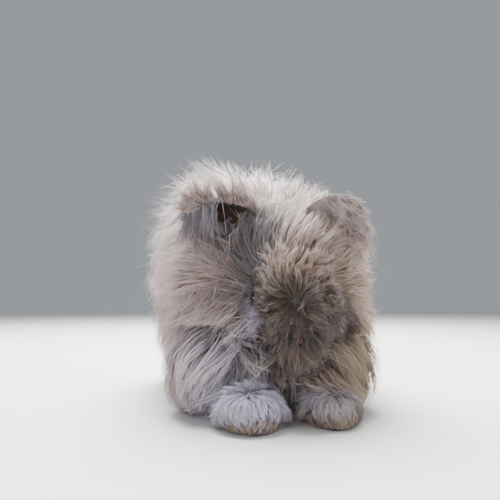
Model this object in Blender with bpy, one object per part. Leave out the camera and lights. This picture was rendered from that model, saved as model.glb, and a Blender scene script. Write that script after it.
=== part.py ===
# A life-size angora rabbit that crouches with its head low over its forepaws.
# Metres, +Z up. The rabbit faces -Y, its left side is +X, and its soles lie at z = 0.
# Each node is one closed body: a core, blended from a few ellipsoids, with flat tapered locks of
# wool fused to it. The locks rise from the core to a second blend, which the tips of the coat reach.

import math
import random

import bmesh
import bpy
import numpy as np
from mathutils import Euler, Matrix, Vector
from mathutils.bvhtree import BVHTree

# Gaps
CLEARANCE = 0.0003  # between nodes that meet
WOOL_ABOVE_FLOOR = 0.0006  # the lowest wool that is no sole
LOWEST_TIP = 0.0026

# Head
HEAD_CENTRE = (0.016, -0.112, 0.118)
HEAD_YAW = -8.0  # degrees, towards the rabbit's right
HEAD_ROLL = -6.0  # degrees, the crown leans towards the rabbit's right
WHORL = (0.0, -0.050, -0.014)  # from the head's centre: the face's wool spreads from here
EYE_PLACE = (0.0315, -0.020, -0.004)  # from the head's centre, left side
EYE_RADIUS = 0.0080
EYE_OPEN = 0.0135  # no lock of the head passes nearer to the eye's centre
LID_REACH = 0.0088
LID_THICKNESS = 0.0022
LID_FLATNESS = 0.80  # height of the opening over its width
LID_OUT = 0.0020  # from the eye's centre outwards to the middle of the lids
LID_STEPS = 12
NOSE_PLACE = (0.0, -0.0520, -0.046)
NOSE_RADII = (0.0062, 0.0062, 0.0044)

# Ear, from its root on the crown out to its tip
EAR_ROOT = (0.031, 0.006, 0.056)  # from the head's centre, left side
EAR_LENGTH = 0.072
EAR_WIDTH = 0.048
EAR_WALL = 0.003
EAR_STATIONS = 7
EAR_COLUMNS = 6
EARS = {
    "left": {"sign": 1.0, "rise": 16.0, "back": 22.0, "sweep": (0.50, 0.55, 0.20), "seed": 101},
    "right": {"sign": -1.0, "rise": 26.0, "back": 6.0, "sweep": (-0.25, -0.12, -0.95), "seed": 102},
}  # rise above level and turn to the back in degrees, and the way the tassels run
TASSEL_COUNT = 7
TASSEL_LENGTH = 0.031
TASSEL_WIDTH = 0.0145
TASSEL_STATIONS = ((0.0, 0.55), (0.30, 1.0), (0.66, 0.66))  # share along, width

BLEND = 0.018  # softness of the join between two ellipsoids of one node
LOCK_SINK = 0.007  # how deep a lock's root lies in its core
LOCK_STATIONS = ((0.0, 0.0, 0.40), (0.20, 0.44, 1.0), (0.60, 0.84, 0.72))  # share along, rise, width
STEP_COUNT = 12  # steps in which a lock follows the surface
LOFTS = (1.0, 0.90, 1.06, 0.80, 0.70)  # heights that a lock tries, to pass clear of its neighbours
TWISTS = (0.0, 0.16, -0.16)  # radians, tried at each height
FOREIGN_WEIGHT = 2  # of a crossing with another node's lock
REBUILDS = 3
SAME_CORNER = 0.00004
PUSH = 0.0002
PUSHES = ((0, 0, 0), (1, 0, 0), (-1, 0, 0), (0, 1, 0), (0, -1, 0), (0, 0, 1), (0, 0, -1))
MELT_REACHES = (0.00004, 0.00003, 0.00002, 0.00001, 0.000003)
WELDS = (0.000003, 0.000002, 0.000001, 0.0)

WOOL_COLOURS = {
    "head": (0.33, 0.26, 0.23),
    "neck": (0.45, 0.38, 0.34),
    "torso": (0.55, 0.47, 0.42),
    "ear": (0.25, 0.23, 0.26),
    "leg": (0.56, 0.49, 0.45),
    "paw": (0.66, 0.62, 0.66),
    "tail": (0.60, 0.53, 0.48),
    "eye": (0.02, 0.015, 0.012),
}


def clear_scene():
    for existing in list(bpy.data.objects):
        bpy.data.objects.remove(existing, do_unlink=True)


def ellipsoid(centre, radii, turn=0.0):
    # turn is about Z, in degrees.
    frame = Euler((0.0, 0.0, math.radians(turn))).to_matrix()
    return {"centre": Vector(centre), "radii": Vector(radii), "axes": frame}


def pair(centre, radii, turn=0.0):
    # The same ellipsoid on the left side and on the right side of the body.
    left = ellipsoid(centre, radii, turn)
    right = ellipsoid((-centre[0], centre[1], centre[2]), radii, -turn)
    return {"left": left, "right": right}


def head_turn():
    yaw = Matrix.Rotation(math.radians(HEAD_YAW), 3, "Z")
    roll = Matrix.Rotation(math.radians(HEAD_ROLL), 3, "Y")
    return yaw @ roll


def on_head(point):
    return Vector(HEAD_CENTRE) + head_turn() @ Vector(point)


def head_ellipsoid(centre, radii, tilt=0.0, lean=0.0):
    # tilt is about the head's X axis and lean about its Y axis, in degrees.
    frame = Euler((math.radians(tilt), math.radians(lean), 0.0)).to_matrix()
    return {"centre": on_head(centre), "radii": Vector(radii), "axes": head_turn() @ frame}


def head_pair(centre, radii, tilt=0.0, lean=0.0):
    left = head_ellipsoid(centre, radii, tilt, lean)
    right = head_ellipsoid((-centre[0], centre[1], centre[2]), radii, tilt, -lean)
    return [left, right]


def grown(form, by):
    return {"centre": form["centre"], "axes": form["axes"], "radii": form["radii"] + Vector((by, by, by))}


def ellipsoid_distance(points, form):
    # Near the surface: |p / r| * (|p / r| - 1) / |p / r^2|, in the ellipsoid's own axes.
    local = (points - np.array(form["centre"])) @ np.array(form["axes"])
    radii = np.array(form["radii"])
    first = np.linalg.norm(local / radii, axis=1)
    second = np.linalg.norm(local / radii**2, axis=1) + 1e-9
    return first * (first - 1.0) / second


def blended_distance(points, forms, softness=BLEND):
    # A smooth minimum over the ellipsoids, so that they melt into one another.
    distance = ellipsoid_distance(points, forms[0])
    for form in forms[1:]:
        other = ellipsoid_distance(points, form)
        share = np.clip(0.5 + 0.5 * (other - distance) / softness, 0.0, 1.0)
        distance = other * (1.0 - share) + distance * share - softness * share * (1.0 - share)
    return distance


def outward(points, forms):
    # The blend's gradient, made unit length.
    step = 0.0005
    slopes = []
    for axis in range(3):
        shift = np.zeros(3)
        shift[axis] = step
        slopes.append(blended_distance(points + shift, forms) - blended_distance(points - shift, forms))
    slope = np.stack(slopes, axis=1)
    return slope / (np.linalg.norm(slope, axis=1, keepdims=True) + 1e-12)


def reach_along(points, directions, forms, longest=0.4):
    # How far each ray runs until it leaves the blend, by halving an interval.
    low = np.zeros(len(points))
    high = np.full(len(points), longest)
    for _ in range(26):
        middle = (low + high) / 2.0
        outside = blended_distance(points + directions * middle[:, None], forms) > 0.0
        high = np.where(outside, middle, high)
        low = np.where(outside, low, middle)
    return low


def swell(work, by):
    # Moves each corner outwards, so that every face stands off by the same distance.
    work.normal_update()
    moves = [vertex.normal * by * min(vertex.calc_shell_factor(), 3.0) for vertex in work.verts]
    for vertex, move in zip(work.verts, moves):
        vertex.co += move


def finished_object(name, work, extra):
    if work.calc_volume(signed=True) < 0.0:
        bmesh.ops.reverse_faces(work, faces=work.faces[:])
    if extra > 0.0:
        swell(work, extra)
    mesh = bpy.data.meshes.new(name)
    work.to_mesh(mesh)
    work.free()
    return bpy.data.objects.new(name, mesh)


def skin_object(name, forms, size, extra=0.0, pole=(0.0, 0.0, 1.0)):
    # A sphere of rings round the pole axis, drawn out to the blend's surface.
    rings, segments = size
    towards = Vector((0.0, 0.0, 1.0)).rotation_difference(Vector(pole)).to_matrix()
    work = bmesh.new()
    bmesh.ops.create_uvsphere(work, u_segments=segments, v_segments=rings, radius=1.0)
    directions = np.array([towards @ vertex.co.normalized() for vertex in work.verts])
    centres = np.tile(np.array(forms[0]["centre"]), (len(directions), 1))
    radii = reach_along(centres, directions, forms)
    for vertex, place in zip(work.verts, centres + directions * radii[:, None]):
        vertex.co = place
    bmesh.ops.triangulate(work, faces=work.faces[:], quad_method="FIXED")
    return finished_object(name, work, extra)


def lock_corners(lock):
    # Every corner and triangle of a tapered blade: three-cornered sections, a root face and a tip.
    corners = [corner for section in lock["sections"] for corner in section] + [lock["tip"]]
    last = len(corners) - 1
    faces = [(2, 1, 0)]
    for ring in range(0, last - 3, 3):
        for corner in range(3):
            after = (corner + 1) % 3
            faces.append((ring + corner, ring + after, ring + 3 + after))
            faces.append((ring + corner, ring + 3 + after, ring + 3 + corner))
    for corner in range(3):
        faces.append((last - 3 + corner, last - 3 + (corner + 1) % 3, last))
    return corners, faces


def lock_object(lock, extra=0.0):
    corners, faces = lock_corners(lock)
    work = bmesh.new()
    vertices = [work.verts.new(corner) for corner in corners]
    for face in faces:
        work.faces.new([vertices[corner] for corner in face])
    return finished_object("lock", work, extra)


def ear_place(ear):
    rise = Matrix.Rotation(math.radians(-ear["rise"]), 4, "Y")
    back = Matrix.Rotation(math.radians(ear["back"]), 4, "Z")
    side = Matrix.Diagonal((ear["sign"], 1.0, 1.0, 1.0))
    root = Matrix.Translation(HEAD_CENTRE) @ head_turn().to_4x4() @ side @ Matrix.Translation(EAR_ROOT)
    return root @ back @ rise


def ear_section(share):
    # Half width W * sin(pi * (0.14 + 0.84 s)^0.75)^0.6 at the share s of the length, bent round an
    # arc that is tight at the root and opens towards the tip. Gives the arc's angle, radius and wall.
    fullness = math.sin(math.pi * (0.14 + 0.84 * share) ** 0.75) ** 0.6
    roll = math.radians(150.0 - 75.0 * share)
    return roll, EAR_WIDTH / 2.0 * fullness / math.sin(roll / 2.0), EAR_WALL * (1.0 - 0.5 * share)


def ear_locks(ear):
    # Tassels by turns along both rims, from a third of the way out to the tip.
    draw = random.Random(ear["seed"])
    place = ear_place(ear)
    locks = []
    for index in range(TASSEL_COUNT):
        share = 0.34 + 0.60 * index / (TASSEL_COUNT - 1)
        roll, radius, wall = ear_section(share)
        angle = roll * (0.45 if index % 2 else -0.45)
        depth = math.cos(angle) * radius - math.cos(roll / 2.0) * radius
        rim = place @ Vector((share * EAR_LENGTH, depth, math.sin(angle) * radius))
        inner = place @ Vector((share * EAR_LENGTH, depth, math.sin(angle) * radius * 0.82))
        out = (rim - inner).normalized()
        heading = (out * 0.75 + Vector(ear["sweep"])).normalized()
        length = TASSEL_LENGTH * draw.uniform(0.85, 1.15)
        across = heading.cross(Vector((0.0, -1.0, 0.0))).normalized()
        lift = across.cross(heading).normalized()
        sections = []
        for along, breadth in TASSEL_STATIONS:
            bend = out.lerp(heading, min(1.0, 0.3 + along))
            here = inner.lerp(rim, min(1.0, along * 3.3)) + bend * length * along
            side = across * TASSEL_WIDTH / 2.0 * breadth
            up = lift * wall * 0.38 * breadth
            sections.append((here + side - up, here + up, here - side - up))
        locks.append({"sections": sections, "tip": rim + heading * length})
    return locks


def ear_object(name, ear, extra=0.0):
    # A rolled leaf with a wall, closed at its root and its tip.
    work = bmesh.new()
    rings = []
    for step in range(EAR_STATIONS):
        share = step / (EAR_STATIONS - 1)
        roll, radius, wall = ear_section(share)
        ring = []
        for face, reach in ((1, radius + wall / 2.0), (-1, radius - wall / 2.0)):
            for column in range(EAR_COLUMNS + 1):
                angle = roll * (column / EAR_COLUMNS - 0.5) * face
                depth = math.cos(angle) * reach - math.cos(roll / 2.0) * radius
                ring.append(work.verts.new((share * EAR_LENGTH, depth, math.sin(angle) * reach)))
        rings.append(ring)
    count = 2 * (EAR_COLUMNS + 1)
    for first, second in zip(rings, rings[1:]):
        for column in range(count):
            after = (column + 1) % count
            work.faces.new((first[column], first[after], second[after], second[column]))
    for ring in (rings[0], rings[-1]):
        for column in range(EAR_COLUMNS):
            across = count - 1 - column
            work.faces.new((ring[column], ring[column + 1], ring[across - 1], ring[across]))
    bmesh.ops.triangulate(work, faces=work.faces[:], quad_method="FIXED")
    work.transform(ear_place(ear))
    bmesh.ops.recalc_face_normals(work, faces=work.faces[:])
    return finished_object(name, work, extra)


def lid_object(sign, extra=0.0):
    # A ring round the eye, a little flattened from above and thicker above than below.
    outwards = Vector((sign, -0.35, 0.10)).normalized()
    work = bmesh.new()
    rings = []
    for step in range(LID_STEPS):
        angle = 2.0 * math.pi * step / LID_STEPS
        middle = Vector((math.cos(angle) * LID_REACH, math.sin(angle) * LID_REACH * LID_FLATNESS, 0.0))
        spoke = middle.normalized()
        thick = LID_THICKNESS * (1.25 if math.sin(angle) > 0.0 else 0.9)
        ring = []
        for corner in range(4):
            turn = 2.0 * math.pi * (corner + 0.5) / 4.0
            offset = spoke * math.cos(turn) * thick + Vector((0.0, 0.0, math.sin(turn) * thick))
            ring.append(work.verts.new(middle + offset))
        rings.append(ring)
    for step in range(LID_STEPS):
        first = rings[step]
        second = rings[(step + 1) % LID_STEPS]
        for corner in range(4):
            after = (corner + 1) % 4
            work.faces.new((first[corner], second[corner], second[after], first[after]))
    bmesh.ops.triangulate(work, faces=work.faces[:], quad_method="FIXED")
    outwards = head_turn() @ outwards
    place = on_head((EYE_PLACE[0] * sign, EYE_PLACE[1], EYE_PLACE[2])) + outwards * LID_OUT
    work.transform(Matrix.Translation(place) @ outwards.to_track_quat("Z", "Y").to_matrix().to_4x4())
    bmesh.ops.recalc_face_normals(work, faces=work.faces[:])
    return finished_object("lid", work, extra)


def floor_slab(top):
    work = bmesh.new()
    bmesh.ops.create_cube(work, size=1.0, matrix=Matrix.Translation((0.0, 0.0, top - 0.5)))
    return finished_object("floor", work, 0.0)


def combine(base, others, operation):
    # One Boolean of the base with all the others, applied, after which the others are removed.
    if not others:
        return
    group = bpy.data.collections.new("operands")
    bpy.context.scene.collection.children.link(group)
    for other in others:
        group.objects.link(other)
    modifier = base.modifiers.new("combine", "BOOLEAN")
    modifier.operation = operation
    modifier.operand_type = "COLLECTION"
    modifier.collection = group
    modifier.solver = "MANIFOLD"
    bpy.context.view_layer.update()
    evaluated = base.evaluated_get(bpy.context.evaluated_depsgraph_get())
    result = bpy.data.meshes.new_from_object(evaluated)
    base.modifiers.clear()
    base.data = result
    for other in others:
        bpy.data.objects.remove(other, do_unlink=True)
    bpy.data.collections.remove(group)


def shell_volume(faces):
    total = 0.0
    for face in faces:
        first, second, third = (vertex.co for vertex in face.verts)
        total += first.dot(second.cross(third)) / 6.0
    return total


def fold_free(work):
    # Drops pairs of triangles that lie back to back on the same three corners.
    seen = {}
    folded = []
    for face in work.faces:
        key = frozenset(face.verts)
        if key in seen:
            folded += [face, seen.pop(key)]
        else:
            seen[key] = face
    bmesh.ops.delete(work, geom=folded, context="FACES")
    stray = [edge for edge in work.edges if not edge.link_faces]
    bmesh.ops.delete(work, geom=stray, context="EDGES")


def melt_slivers(thing):
    # Closes up edges shorter than a reach, the longest one that leaves every edge with two faces.
    for reach in MELT_REACHES:
        work = bmesh.new()
        work.from_mesh(thing.data)
        bmesh.ops.triangulate(work, faces=work.faces[:])
        fold_free(work)
        bmesh.ops.dissolve_degenerate(work, dist=reach, edges=work.edges[:])
        bmesh.ops.triangulate(work, faces=work.faces[:])
        fold_free(work)
        sound = all(len(edge.link_faces) == 2 for edge in work.edges)
        if sound:
            work.to_mesh(thing.data)
        work.free()
        if sound:
            return


def split_shells(work):
    # Groups of triangles joined through edges that have just two, the fullest group last.
    left = set(work.faces)
    shells = []
    while left:
        shell = [left.pop()]
        for face in shell:
            for edge in face.edges:
                if len(edge.link_faces) != 2:
                    continue
                for neighbour in edge.link_faces:
                    if neighbour in left:
                        left.remove(neighbour)
                        shell.append(neighbour)
        shells.append(shell)
    return sorted(shells, key=shell_volume)


def keep_largest(thing):
    # Leaves only the closed surface that holds the most, and returns the corners of the others.
    # Corners are first made one where they meet, so that what hangs on by a corner or an edge goes.
    for weld in WELDS:
        work = bmesh.new()
        work.from_mesh(thing.data)
        bmesh.ops.remove_doubles(work, verts=work.verts[:], dist=weld)
        bmesh.ops.triangulate(work, faces=work.faces[:])
        fold_free(work)
        scraps = [face for shell in split_shells(work)[:-1] for face in shell]
        corners = [tuple(vertex.co) for face in scraps for vertex in face.verts]
        bmesh.ops.delete(work, geom=scraps, context="FACES")
        sound = all(len(edge.link_faces) == 2 for edge in work.edges)
        if sound:
            work.to_mesh(thing.data)
        work.free()
        if sound:
            return corners
    return []


def wool_material(name, colour):
    material = bpy.data.materials.new(name)
    material.use_nodes = True
    shader = material.node_tree.nodes["Principled BSDF"]
    shader.inputs["Base Color"].default_value = (*colour, 1.0)
    shader.inputs["Roughness"].default_value = 0.12 if name == "eye_surface" else 0.9
    shader.inputs["Metallic"].default_value = 0.0
    return material


# The lie of the wool: each function takes points on the surface and gives the way the wool runs.


def body_lie(points, normals):
    # Back along the spine, more and more downwards towards the flanks, down over chest and rump.
    aside = np.clip(points[:, 0] / 0.10, -1.0, 1.0)
    front = np.clip(-normals[:, 1] - 0.35, 0.0, 1.0)
    rump = np.clip(normals[:, 1] - 0.35, 0.0, 1.0)
    across = 0.45 * aside
    back = 0.9 - 0.35 * np.abs(aside) - 1.6 * front
    down = -0.25 - 0.8 * np.abs(aside) - 1.2 * front - 1.2 * rump
    return np.stack([across, back, down], axis=1)


def ruff_lie(points, normals):
    # Away from the head on every side, and hanging.
    away = points - np.array(HEAD_CENTRE)
    away /= np.linalg.norm(away, axis=1, keepdims=True)
    return away + np.array((0.0, 0.35, -0.45))


def head_lie(points, normals):
    # Away from the whorl on the bridge, lifted to the left over the crown, hanging on the cheeks.
    turn = np.array(head_turn())
    local = (points - np.array(HEAD_CENTRE)) @ turn
    away = local - np.array(WHORL)
    away /= np.linalg.norm(away, axis=1, keepdims=True)
    crown = np.clip(local[:, 2] / 0.04, 0.0, 1.0)[:, None]
    cheek = np.clip(-local[:, 2] / 0.03, 0.0, 1.0)[:, None]
    lie = away + crown * np.array((0.90, 0.20, 0.35)) + cheek * np.array((0.0, 0.1, -0.7))
    return lie @ turn.T


def lie_from(above, hang=0.0):
    # Away from one point, which lies as far out on either side, and as much downwards as it hangs.
    def lie(points, normals):
        middle = np.tile(np.array(above), (len(points), 1))
        middle[:, 0] *= np.sign(points[:, 0])
        away = points - middle
        away /= np.linalg.norm(away, axis=1, keepdims=True)
        return away - np.array((0.0, 0.0, hang))
    return lie


def spread_roots(forms, around, count, seed):
    # Evenly spread directions on a golden spiral, carried out to the core's surface, a little shaken.
    draw = random.Random(seed)
    golden = math.pi * (3.0 - math.sqrt(5.0))
    directions = []
    for index in range(count):
        height = 1.0 - 2.0 * (index + 0.5) / count
        ring = math.sqrt(1.0 - height * height)
        angle = golden * index + draw.uniform(-0.12, 0.12)
        shaken = height + draw.uniform(-0.02, 0.02)
        directions.append((ring * math.cos(angle), ring * math.sin(angle), shaken))
    directions = np.array(directions)
    directions /= np.linalg.norm(directions, axis=1, keepdims=True)
    scaled = directions * np.array(around["radii"])
    scaled = scaled @ np.array(around["axes"]).T
    scaled /= np.linalg.norm(scaled, axis=1, keepdims=True)
    centres = np.tile(np.array(around["centre"]), (count, 1))
    return centres + scaled * reach_along(centres, scaled, forms)[:, None]


def follow_surface(roots, lengths, lie, cores):
    # Walks each root along the lie in equal steps, dropping back on the surface after each.
    places = [roots]
    normals = [outward(roots, cores)]
    current = roots
    heading = None
    for _ in range(STEP_COUNT):
        normal = normals[-1]
        wish = lie(current, normal)
        wish = wish / (np.linalg.norm(wish, axis=1, keepdims=True) + 1e-12)
        heading = wish if heading is None else 0.6 * heading + 0.4 * wish
        heading = heading - normal * np.sum(heading * normal, axis=1, keepdims=True)
        heading = heading / (np.linalg.norm(heading, axis=1, keepdims=True) + 1e-12)
        current = current + heading * (lengths / STEP_COUNT)[:, None]
        for _ in range(2):
            normal = outward(current, cores)
            current = current - normal * blended_distance(current, cores)[:, None]
        places.append(current)
        normals.append(normal)
    return np.stack(places, axis=1), np.stack(normals, axis=1)


def shaped_lock(path, normals, gaps, coat, width, loft, twist):
    # Sections at the stations, from a root sunk in the core to a tip at the coat's reach.
    points = []
    for share, rise, _ in LOCK_STATIONS + ((1.0, 1.0, 0.0),):
        spot = round(share * STEP_COUNT)
        height = -LOCK_SINK if share == 0.0 else min(gaps[spot], coat["tallest"]) * rise * loft
        points.append((Vector(path[spot] + normals[spot] * height), Vector(normals[spot])))
    sections = []
    for station, (share, _, breadth) in enumerate(LOCK_STATIONS):
        here, up = points[station]
        ahead = (points[station + 1][0] - points[max(station - 1, 0)][0]).normalized()
        side = ahead.cross(up).normalized()
        lift = side.cross(ahead).normalized()
        side = Matrix.Rotation(twist * share, 3, ahead) @ side
        half = side * width / 2.0 * breadth
        thick = coat["thickness"] / 2.0 * breadth
        if share > 0.0:
            here.z = max(here.z, WOOL_ABOVE_FLOOR + thick)
        sections.append((here + half - lift * thick, here + lift * thick, here - half - lift * thick))
    tip = points[-1][0]
    tip.z = max(tip.z, LOWEST_TIP)
    return {"sections": sections, "tip": tip}


def crossings(lock, owner, neighbours):
    # How many triangles of the lock cross those already placed near it, more for another node's.
    corners, faces = lock_corners(lock)
    points = np.array(corners)
    box = (points.min(axis=0), points.max(axis=0))
    tree = BVHTree.FromPolygons(corners, faces)
    total = 0
    for other_owner, other_box, other_tree in neighbours:
        if boxes_meet(box, other_box):
            weight = 1 if other_owner == owner else FOREIGN_WEIGHT
            total += weight * len(tree.overlap(other_tree))
    return total, (owner, box, tree)


def folds_over(lock):
    # Whether the lock's surface, drawn out by the clearance, crosses itself.
    swollen = lock_object(lock, CLEARANCE)
    corners = [vertex.co.copy() for vertex in swollen.data.vertices]
    bpy.data.objects.remove(swollen, do_unlink=True)
    _, faces = lock_corners(lock)
    tree = BVHTree.FromPolygons(corners, faces)
    return any(not set(faces[first]) & set(faces[second]) for first, second in tree.overlap(tree))


def grow_locks(entry, coat, cores, tips, placed):
    # Spreads roots over the core, lets each lock follow the lie, and keeps the try that crosses least.
    draw = random.Random(coat["seed"])
    around = coat.get("around", entry["forms"][0])
    roots = spread_roots(entry["forms"], around, coat["count"], coat["seed"])
    normals = outward(roots, entry["forms"])
    others = [form for form in cores if all(form is not own for own in entry["forms"])]
    free = blended_distance(roots, others) > coat.get("clear", 0.0)
    free &= roots[:, 2] > coat.get("lowest", 0.012)
    free &= normals[:, 2] > coat.get("under", -0.35)
    if "where" in coat:
        free &= coat["where"](roots)
    roots = roots[free]
    lengths = np.array([coat["length"] * draw.uniform(0.90, 1.10) for _ in roots])
    places, normals = follow_surface(roots, lengths, coat["lie"], cores)
    locks = []
    eyes = [on_head((EYE_PLACE[0] * sign, EYE_PLACE[1], EYE_PLACE[2])) for sign in (1.0, -1.0)]
    for path, normal in zip(places, normals):
        if min(np.linalg.norm(path - np.array(eye), axis=1).min() for eye in eyes) < EYE_OPEN:
            continue
        gaps = reach_along(path, normal, tips, 0.14)
        width = coat["width"] * draw.uniform(0.85, 1.12)
        best = None
        for loft in LOFTS:
            for twist in TWISTS:
                lock = shaped_lock(path, normal, gaps, coat, width, loft, twist)
                count, shape = crossings(lock, entry["name"], placed)
                if best is None or count < best[0]:
                    best = (count, lock, shape)
            if best[0] == 0:
                break
        if best[0] <= coat.get("most_crossings", 16) and not folds_over(best[1]):
            locks.append(best[1])
            placed.append(best[2])
    return locks


def bib_is_wool(points):
    # The chest below the chin, between the forelegs.
    return (points[:, 1] < -0.075) & (points[:, 2] < 0.100) & (np.abs(points[:, 0]) < 0.050)


def head_is_wool(points):
    # Crown and cheeks, behind the short wool of the face.
    local = (points - np.array(HEAD_CENTRE)) @ np.array(head_turn())
    return (local[:, 1] > -0.022) & clear_of_eyes(local)


def face_is_wool(points):
    # Bridge, brow and muzzle, up to the nose and the mouth.
    local = (points - np.array(HEAD_CENTRE)) @ np.array(head_turn())
    muzzle = np.linalg.norm(local - np.array(NOSE_PLACE), axis=1) > 0.014
    return (local[:, 1] < -0.020) & muzzle & clear_of_eyes(local)


def clear_of_eyes(local):
    clear = np.ones(len(local), dtype=bool)
    for sign in (1.0, -1.0):
        eye = np.array((EYE_PLACE[0] * sign, EYE_PLACE[1], EYE_PLACE[2]))
        clear &= np.linalg.norm(local - eye, axis=1) > 0.012
    return clear


def node_plan():
    # Nodes from the uppermost coat to the lowest: each is cut clear of those before it.
    plan = []
    for side, sign in (("left", 1.0), ("right", -1.0)):
        place = (EYE_PLACE[0] * sign, EYE_PLACE[1], EYE_PLACE[2])
        eye = head_ellipsoid(place, (EYE_RADIUS, EYE_RADIUS, EYE_RADIUS))
        plan.append({"name": "eye_" + side, "kind": "eye", "forms": [eye], "size": (8, 12)})
    for side, ear in EARS.items():
        plan.append({"name": "ear_" + side, "kind": "ear", "ear": ear, "locks": ear_locks(ear)})
    head = [
        head_ellipsoid((0.0, 0.004, 0.004), (0.036, 0.043, 0.041)),
        head_ellipsoid((0.0, 0.014, 0.026), (0.042, 0.038, 0.036)),
        *head_pair((0.026, -0.004, -0.028), (0.024, 0.028, 0.027)),
        head_ellipsoid((0.0, -0.026, -0.018), (0.024, 0.021, 0.030), 20.0),
        head_ellipsoid((0.0, -0.037, -0.044), (0.0180, 0.0165, 0.0175)),
    ]
    head_tips = [
        head_ellipsoid((0.0, 0.020, 0.036), (0.066, 0.052, 0.048)),
        *head_pair((0.038, -0.004, -0.036), (0.038, 0.040, 0.040)),
        head_ellipsoid((0.0, -0.012, -0.002), (0.042, 0.042, 0.052)),
        head_ellipsoid((0.0, -0.032, -0.030), (0.038, 0.030, 0.036)),
    ]
    head_coat = {"count": 60, "length": 0.052, "width": 0.024, "thickness": 0.0030,
                 "tallest": 0.028, "lie": head_lie, "where": head_is_wool, "lowest": 0.05,
                 "under": -0.8, "seed": 11}
    face_middle = head_ellipsoid((0.0, -0.022, -0.022), (0.034, 0.030, 0.040))
    face_coat = {"count": 110, "length": 0.036, "width": 0.0165, "thickness": 0.0024,
                 "tallest": 0.012, "lie": head_lie, "where": face_is_wool, "around": face_middle,
                 "lowest": 0.05, "under": -0.9, "seed": 12, "most_crossings": 8}
    plan.append({"name": "head", "kind": "head", "forms": head, "tips": head_tips, "size": (12, 20),
                 "coats": [head_coat, face_coat], "pole": (0.14, 0.60, -0.78)})
    paws = {
        "left": ((0.042, -0.142, 0.016), (0.019, 0.029, 0.0170), (0.035, 0.040, 0.027)),
        "right": ((-0.031, -0.146, 0.017), (0.023, 0.031, 0.0180), (0.041, 0.045, 0.030)),
    }
    for side, (centre, radii, reach) in paws.items():
        coat = {"count": 46, "length": 0.036, "width": 0.016, "thickness": 0.0026, "tallest": 0.013,
                "lie": lie_from((abs(centre[0]), centre[1] + 0.022, centre[2] + 0.016)),
                "lowest": 0.006, "under": -0.2, "seed": 21, "most_crossings": 14}
        plan.append({"name": "forepaw_" + side, "kind": "paw", "forms": [ellipsoid(centre, radii)],
                     "tips": [ellipsoid(centre, reach)], "size": (8, 14), "coats": [coat]})
    neck_coat = {"count": 52, "length": 0.070, "width": 0.032, "thickness": 0.0038, "tallest": 0.036,
                 "lie": ruff_lie, "lowest": 0.03, "under": -0.8, "clear": -0.003, "seed": 33}
    neck = ellipsoid((0.010, -0.072, 0.120), (0.074, 0.030, 0.070))
    neck_tips = ellipsoid((0.014, -0.068, 0.128), (0.114, 0.054, 0.096))
    plan.append({"name": "neck", "kind": "neck", "forms": [neck], "tips": [neck_tips],
                 "size": (8, 16), "coats": [neck_coat]})
    tail_coat = {"count": 24, "length": 0.052, "width": 0.024, "thickness": 0.0032, "tallest": 0.030,
                 "lie": lie_from((0.0, 0.150, 0.080)), "lowest": 0.03, "under": -0.9, "seed": 91}
    tail = ellipsoid((0.0, 0.170, 0.100), (0.020, 0.024, 0.030))
    tail_tips = ellipsoid((0.0, 0.180, 0.104), (0.042, 0.042, 0.050))
    plan.append({"name": "tail", "kind": "tail", "forms": [tail], "tips": [tail_tips],
                 "size": (6, 10), "coats": [tail_coat]})
    torso = [
        ellipsoid((0.0, 0.055, 0.126), (0.084, 0.104, 0.103)),
        ellipsoid((0.0, -0.020, 0.122), (0.080, 0.072, 0.094)),
        ellipsoid((0.0, -0.066, 0.060), (0.062, 0.036, 0.052)),
        ellipsoid((0.0, 0.030, 0.050), (0.055, 0.080, 0.042)),
    ]
    torso_tips = [
        ellipsoid((0.0, 0.060, 0.134), (0.134, 0.143, 0.142)),
        ellipsoid((0.004, -0.020, 0.127), (0.132, 0.104, 0.135)),
        ellipsoid((-0.056, 0.034, 0.178), (0.080, 0.100, 0.110)),
        ellipsoid((0.0, -0.074, 0.070), (0.098, 0.056, 0.078)),
    ]
    body_coat = {"count": 136, "length": 0.094, "width": 0.042, "thickness": 0.0048, "tallest": 0.062,
                 "lie": body_lie, "lowest": 0.030, "under": -0.45, "seed": 41}
    bib_coat = {"count": 130, "length": 0.045, "width": 0.024, "thickness": 0.0034, "tallest": 0.020,
                "lie": body_lie, "where": bib_is_wool, "lowest": 0.030, "under": -0.60, "seed": 42}
    plan.append({"name": "torso", "kind": "torso", "forms": torso, "tips": torso_tips, "size": (14, 20),
                 "coats": [body_coat, bib_coat]})
    foreleg_coat = {"count": 40, "length": 0.052, "width": 0.028, "thickness": 0.0034, "tallest": 0.020,
                    "lie": lie_from((0.045, -0.060, 0.110), 0.6),
                    "lowest": 0.012, "under": -0.5, "seed": 51, "most_crossings": 24}
    thigh_coat = {"count": 40, "length": 0.062, "width": 0.034, "thickness": 0.0038, "tallest": 0.024,
                  "lie": lie_from((0.030, 0.040, 0.160), 0.6),
                  "lowest": 0.016, "under": -0.4, "seed": 71}
    forelegs = pair((0.062, -0.080, 0.0412), (0.024, 0.044, 0.038))
    foreleg_tips = pair((0.074, -0.086, 0.046), (0.040, 0.064, 0.054))
    thighs = pair((0.066, 0.070, 0.066), (0.032, 0.066, 0.056))
    thigh_tips = pair((0.078, 0.072, 0.068), (0.049, 0.085, 0.070))
    feet = pair((0.070, 0.002, 0.013), (0.018, 0.058, 0.014))
    feet_tips = pair((0.073, 0.0, 0.014), (0.030, 0.068, 0.024))
    foot_coat = {"count": 14, "length": 0.036, "width": 0.022, "thickness": 0.0028, "tallest": 0.012,
                 "lie": lie_from((0.055, 0.020, 0.060), 0.6),
                 "lowest": 0.008, "under": -0.3, "seed": 81}
    limbs = (
        ("foreleg_", "leg", forelegs, foreleg_tips, foreleg_coat),
        ("hindleg_", "leg", thighs, thigh_tips, thigh_coat),
        ("hindfoot_", "paw", feet, feet_tips, foot_coat),
    )
    for name, kind, forms, reach, coat in limbs:
        for side in ("left", "right"):
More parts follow.
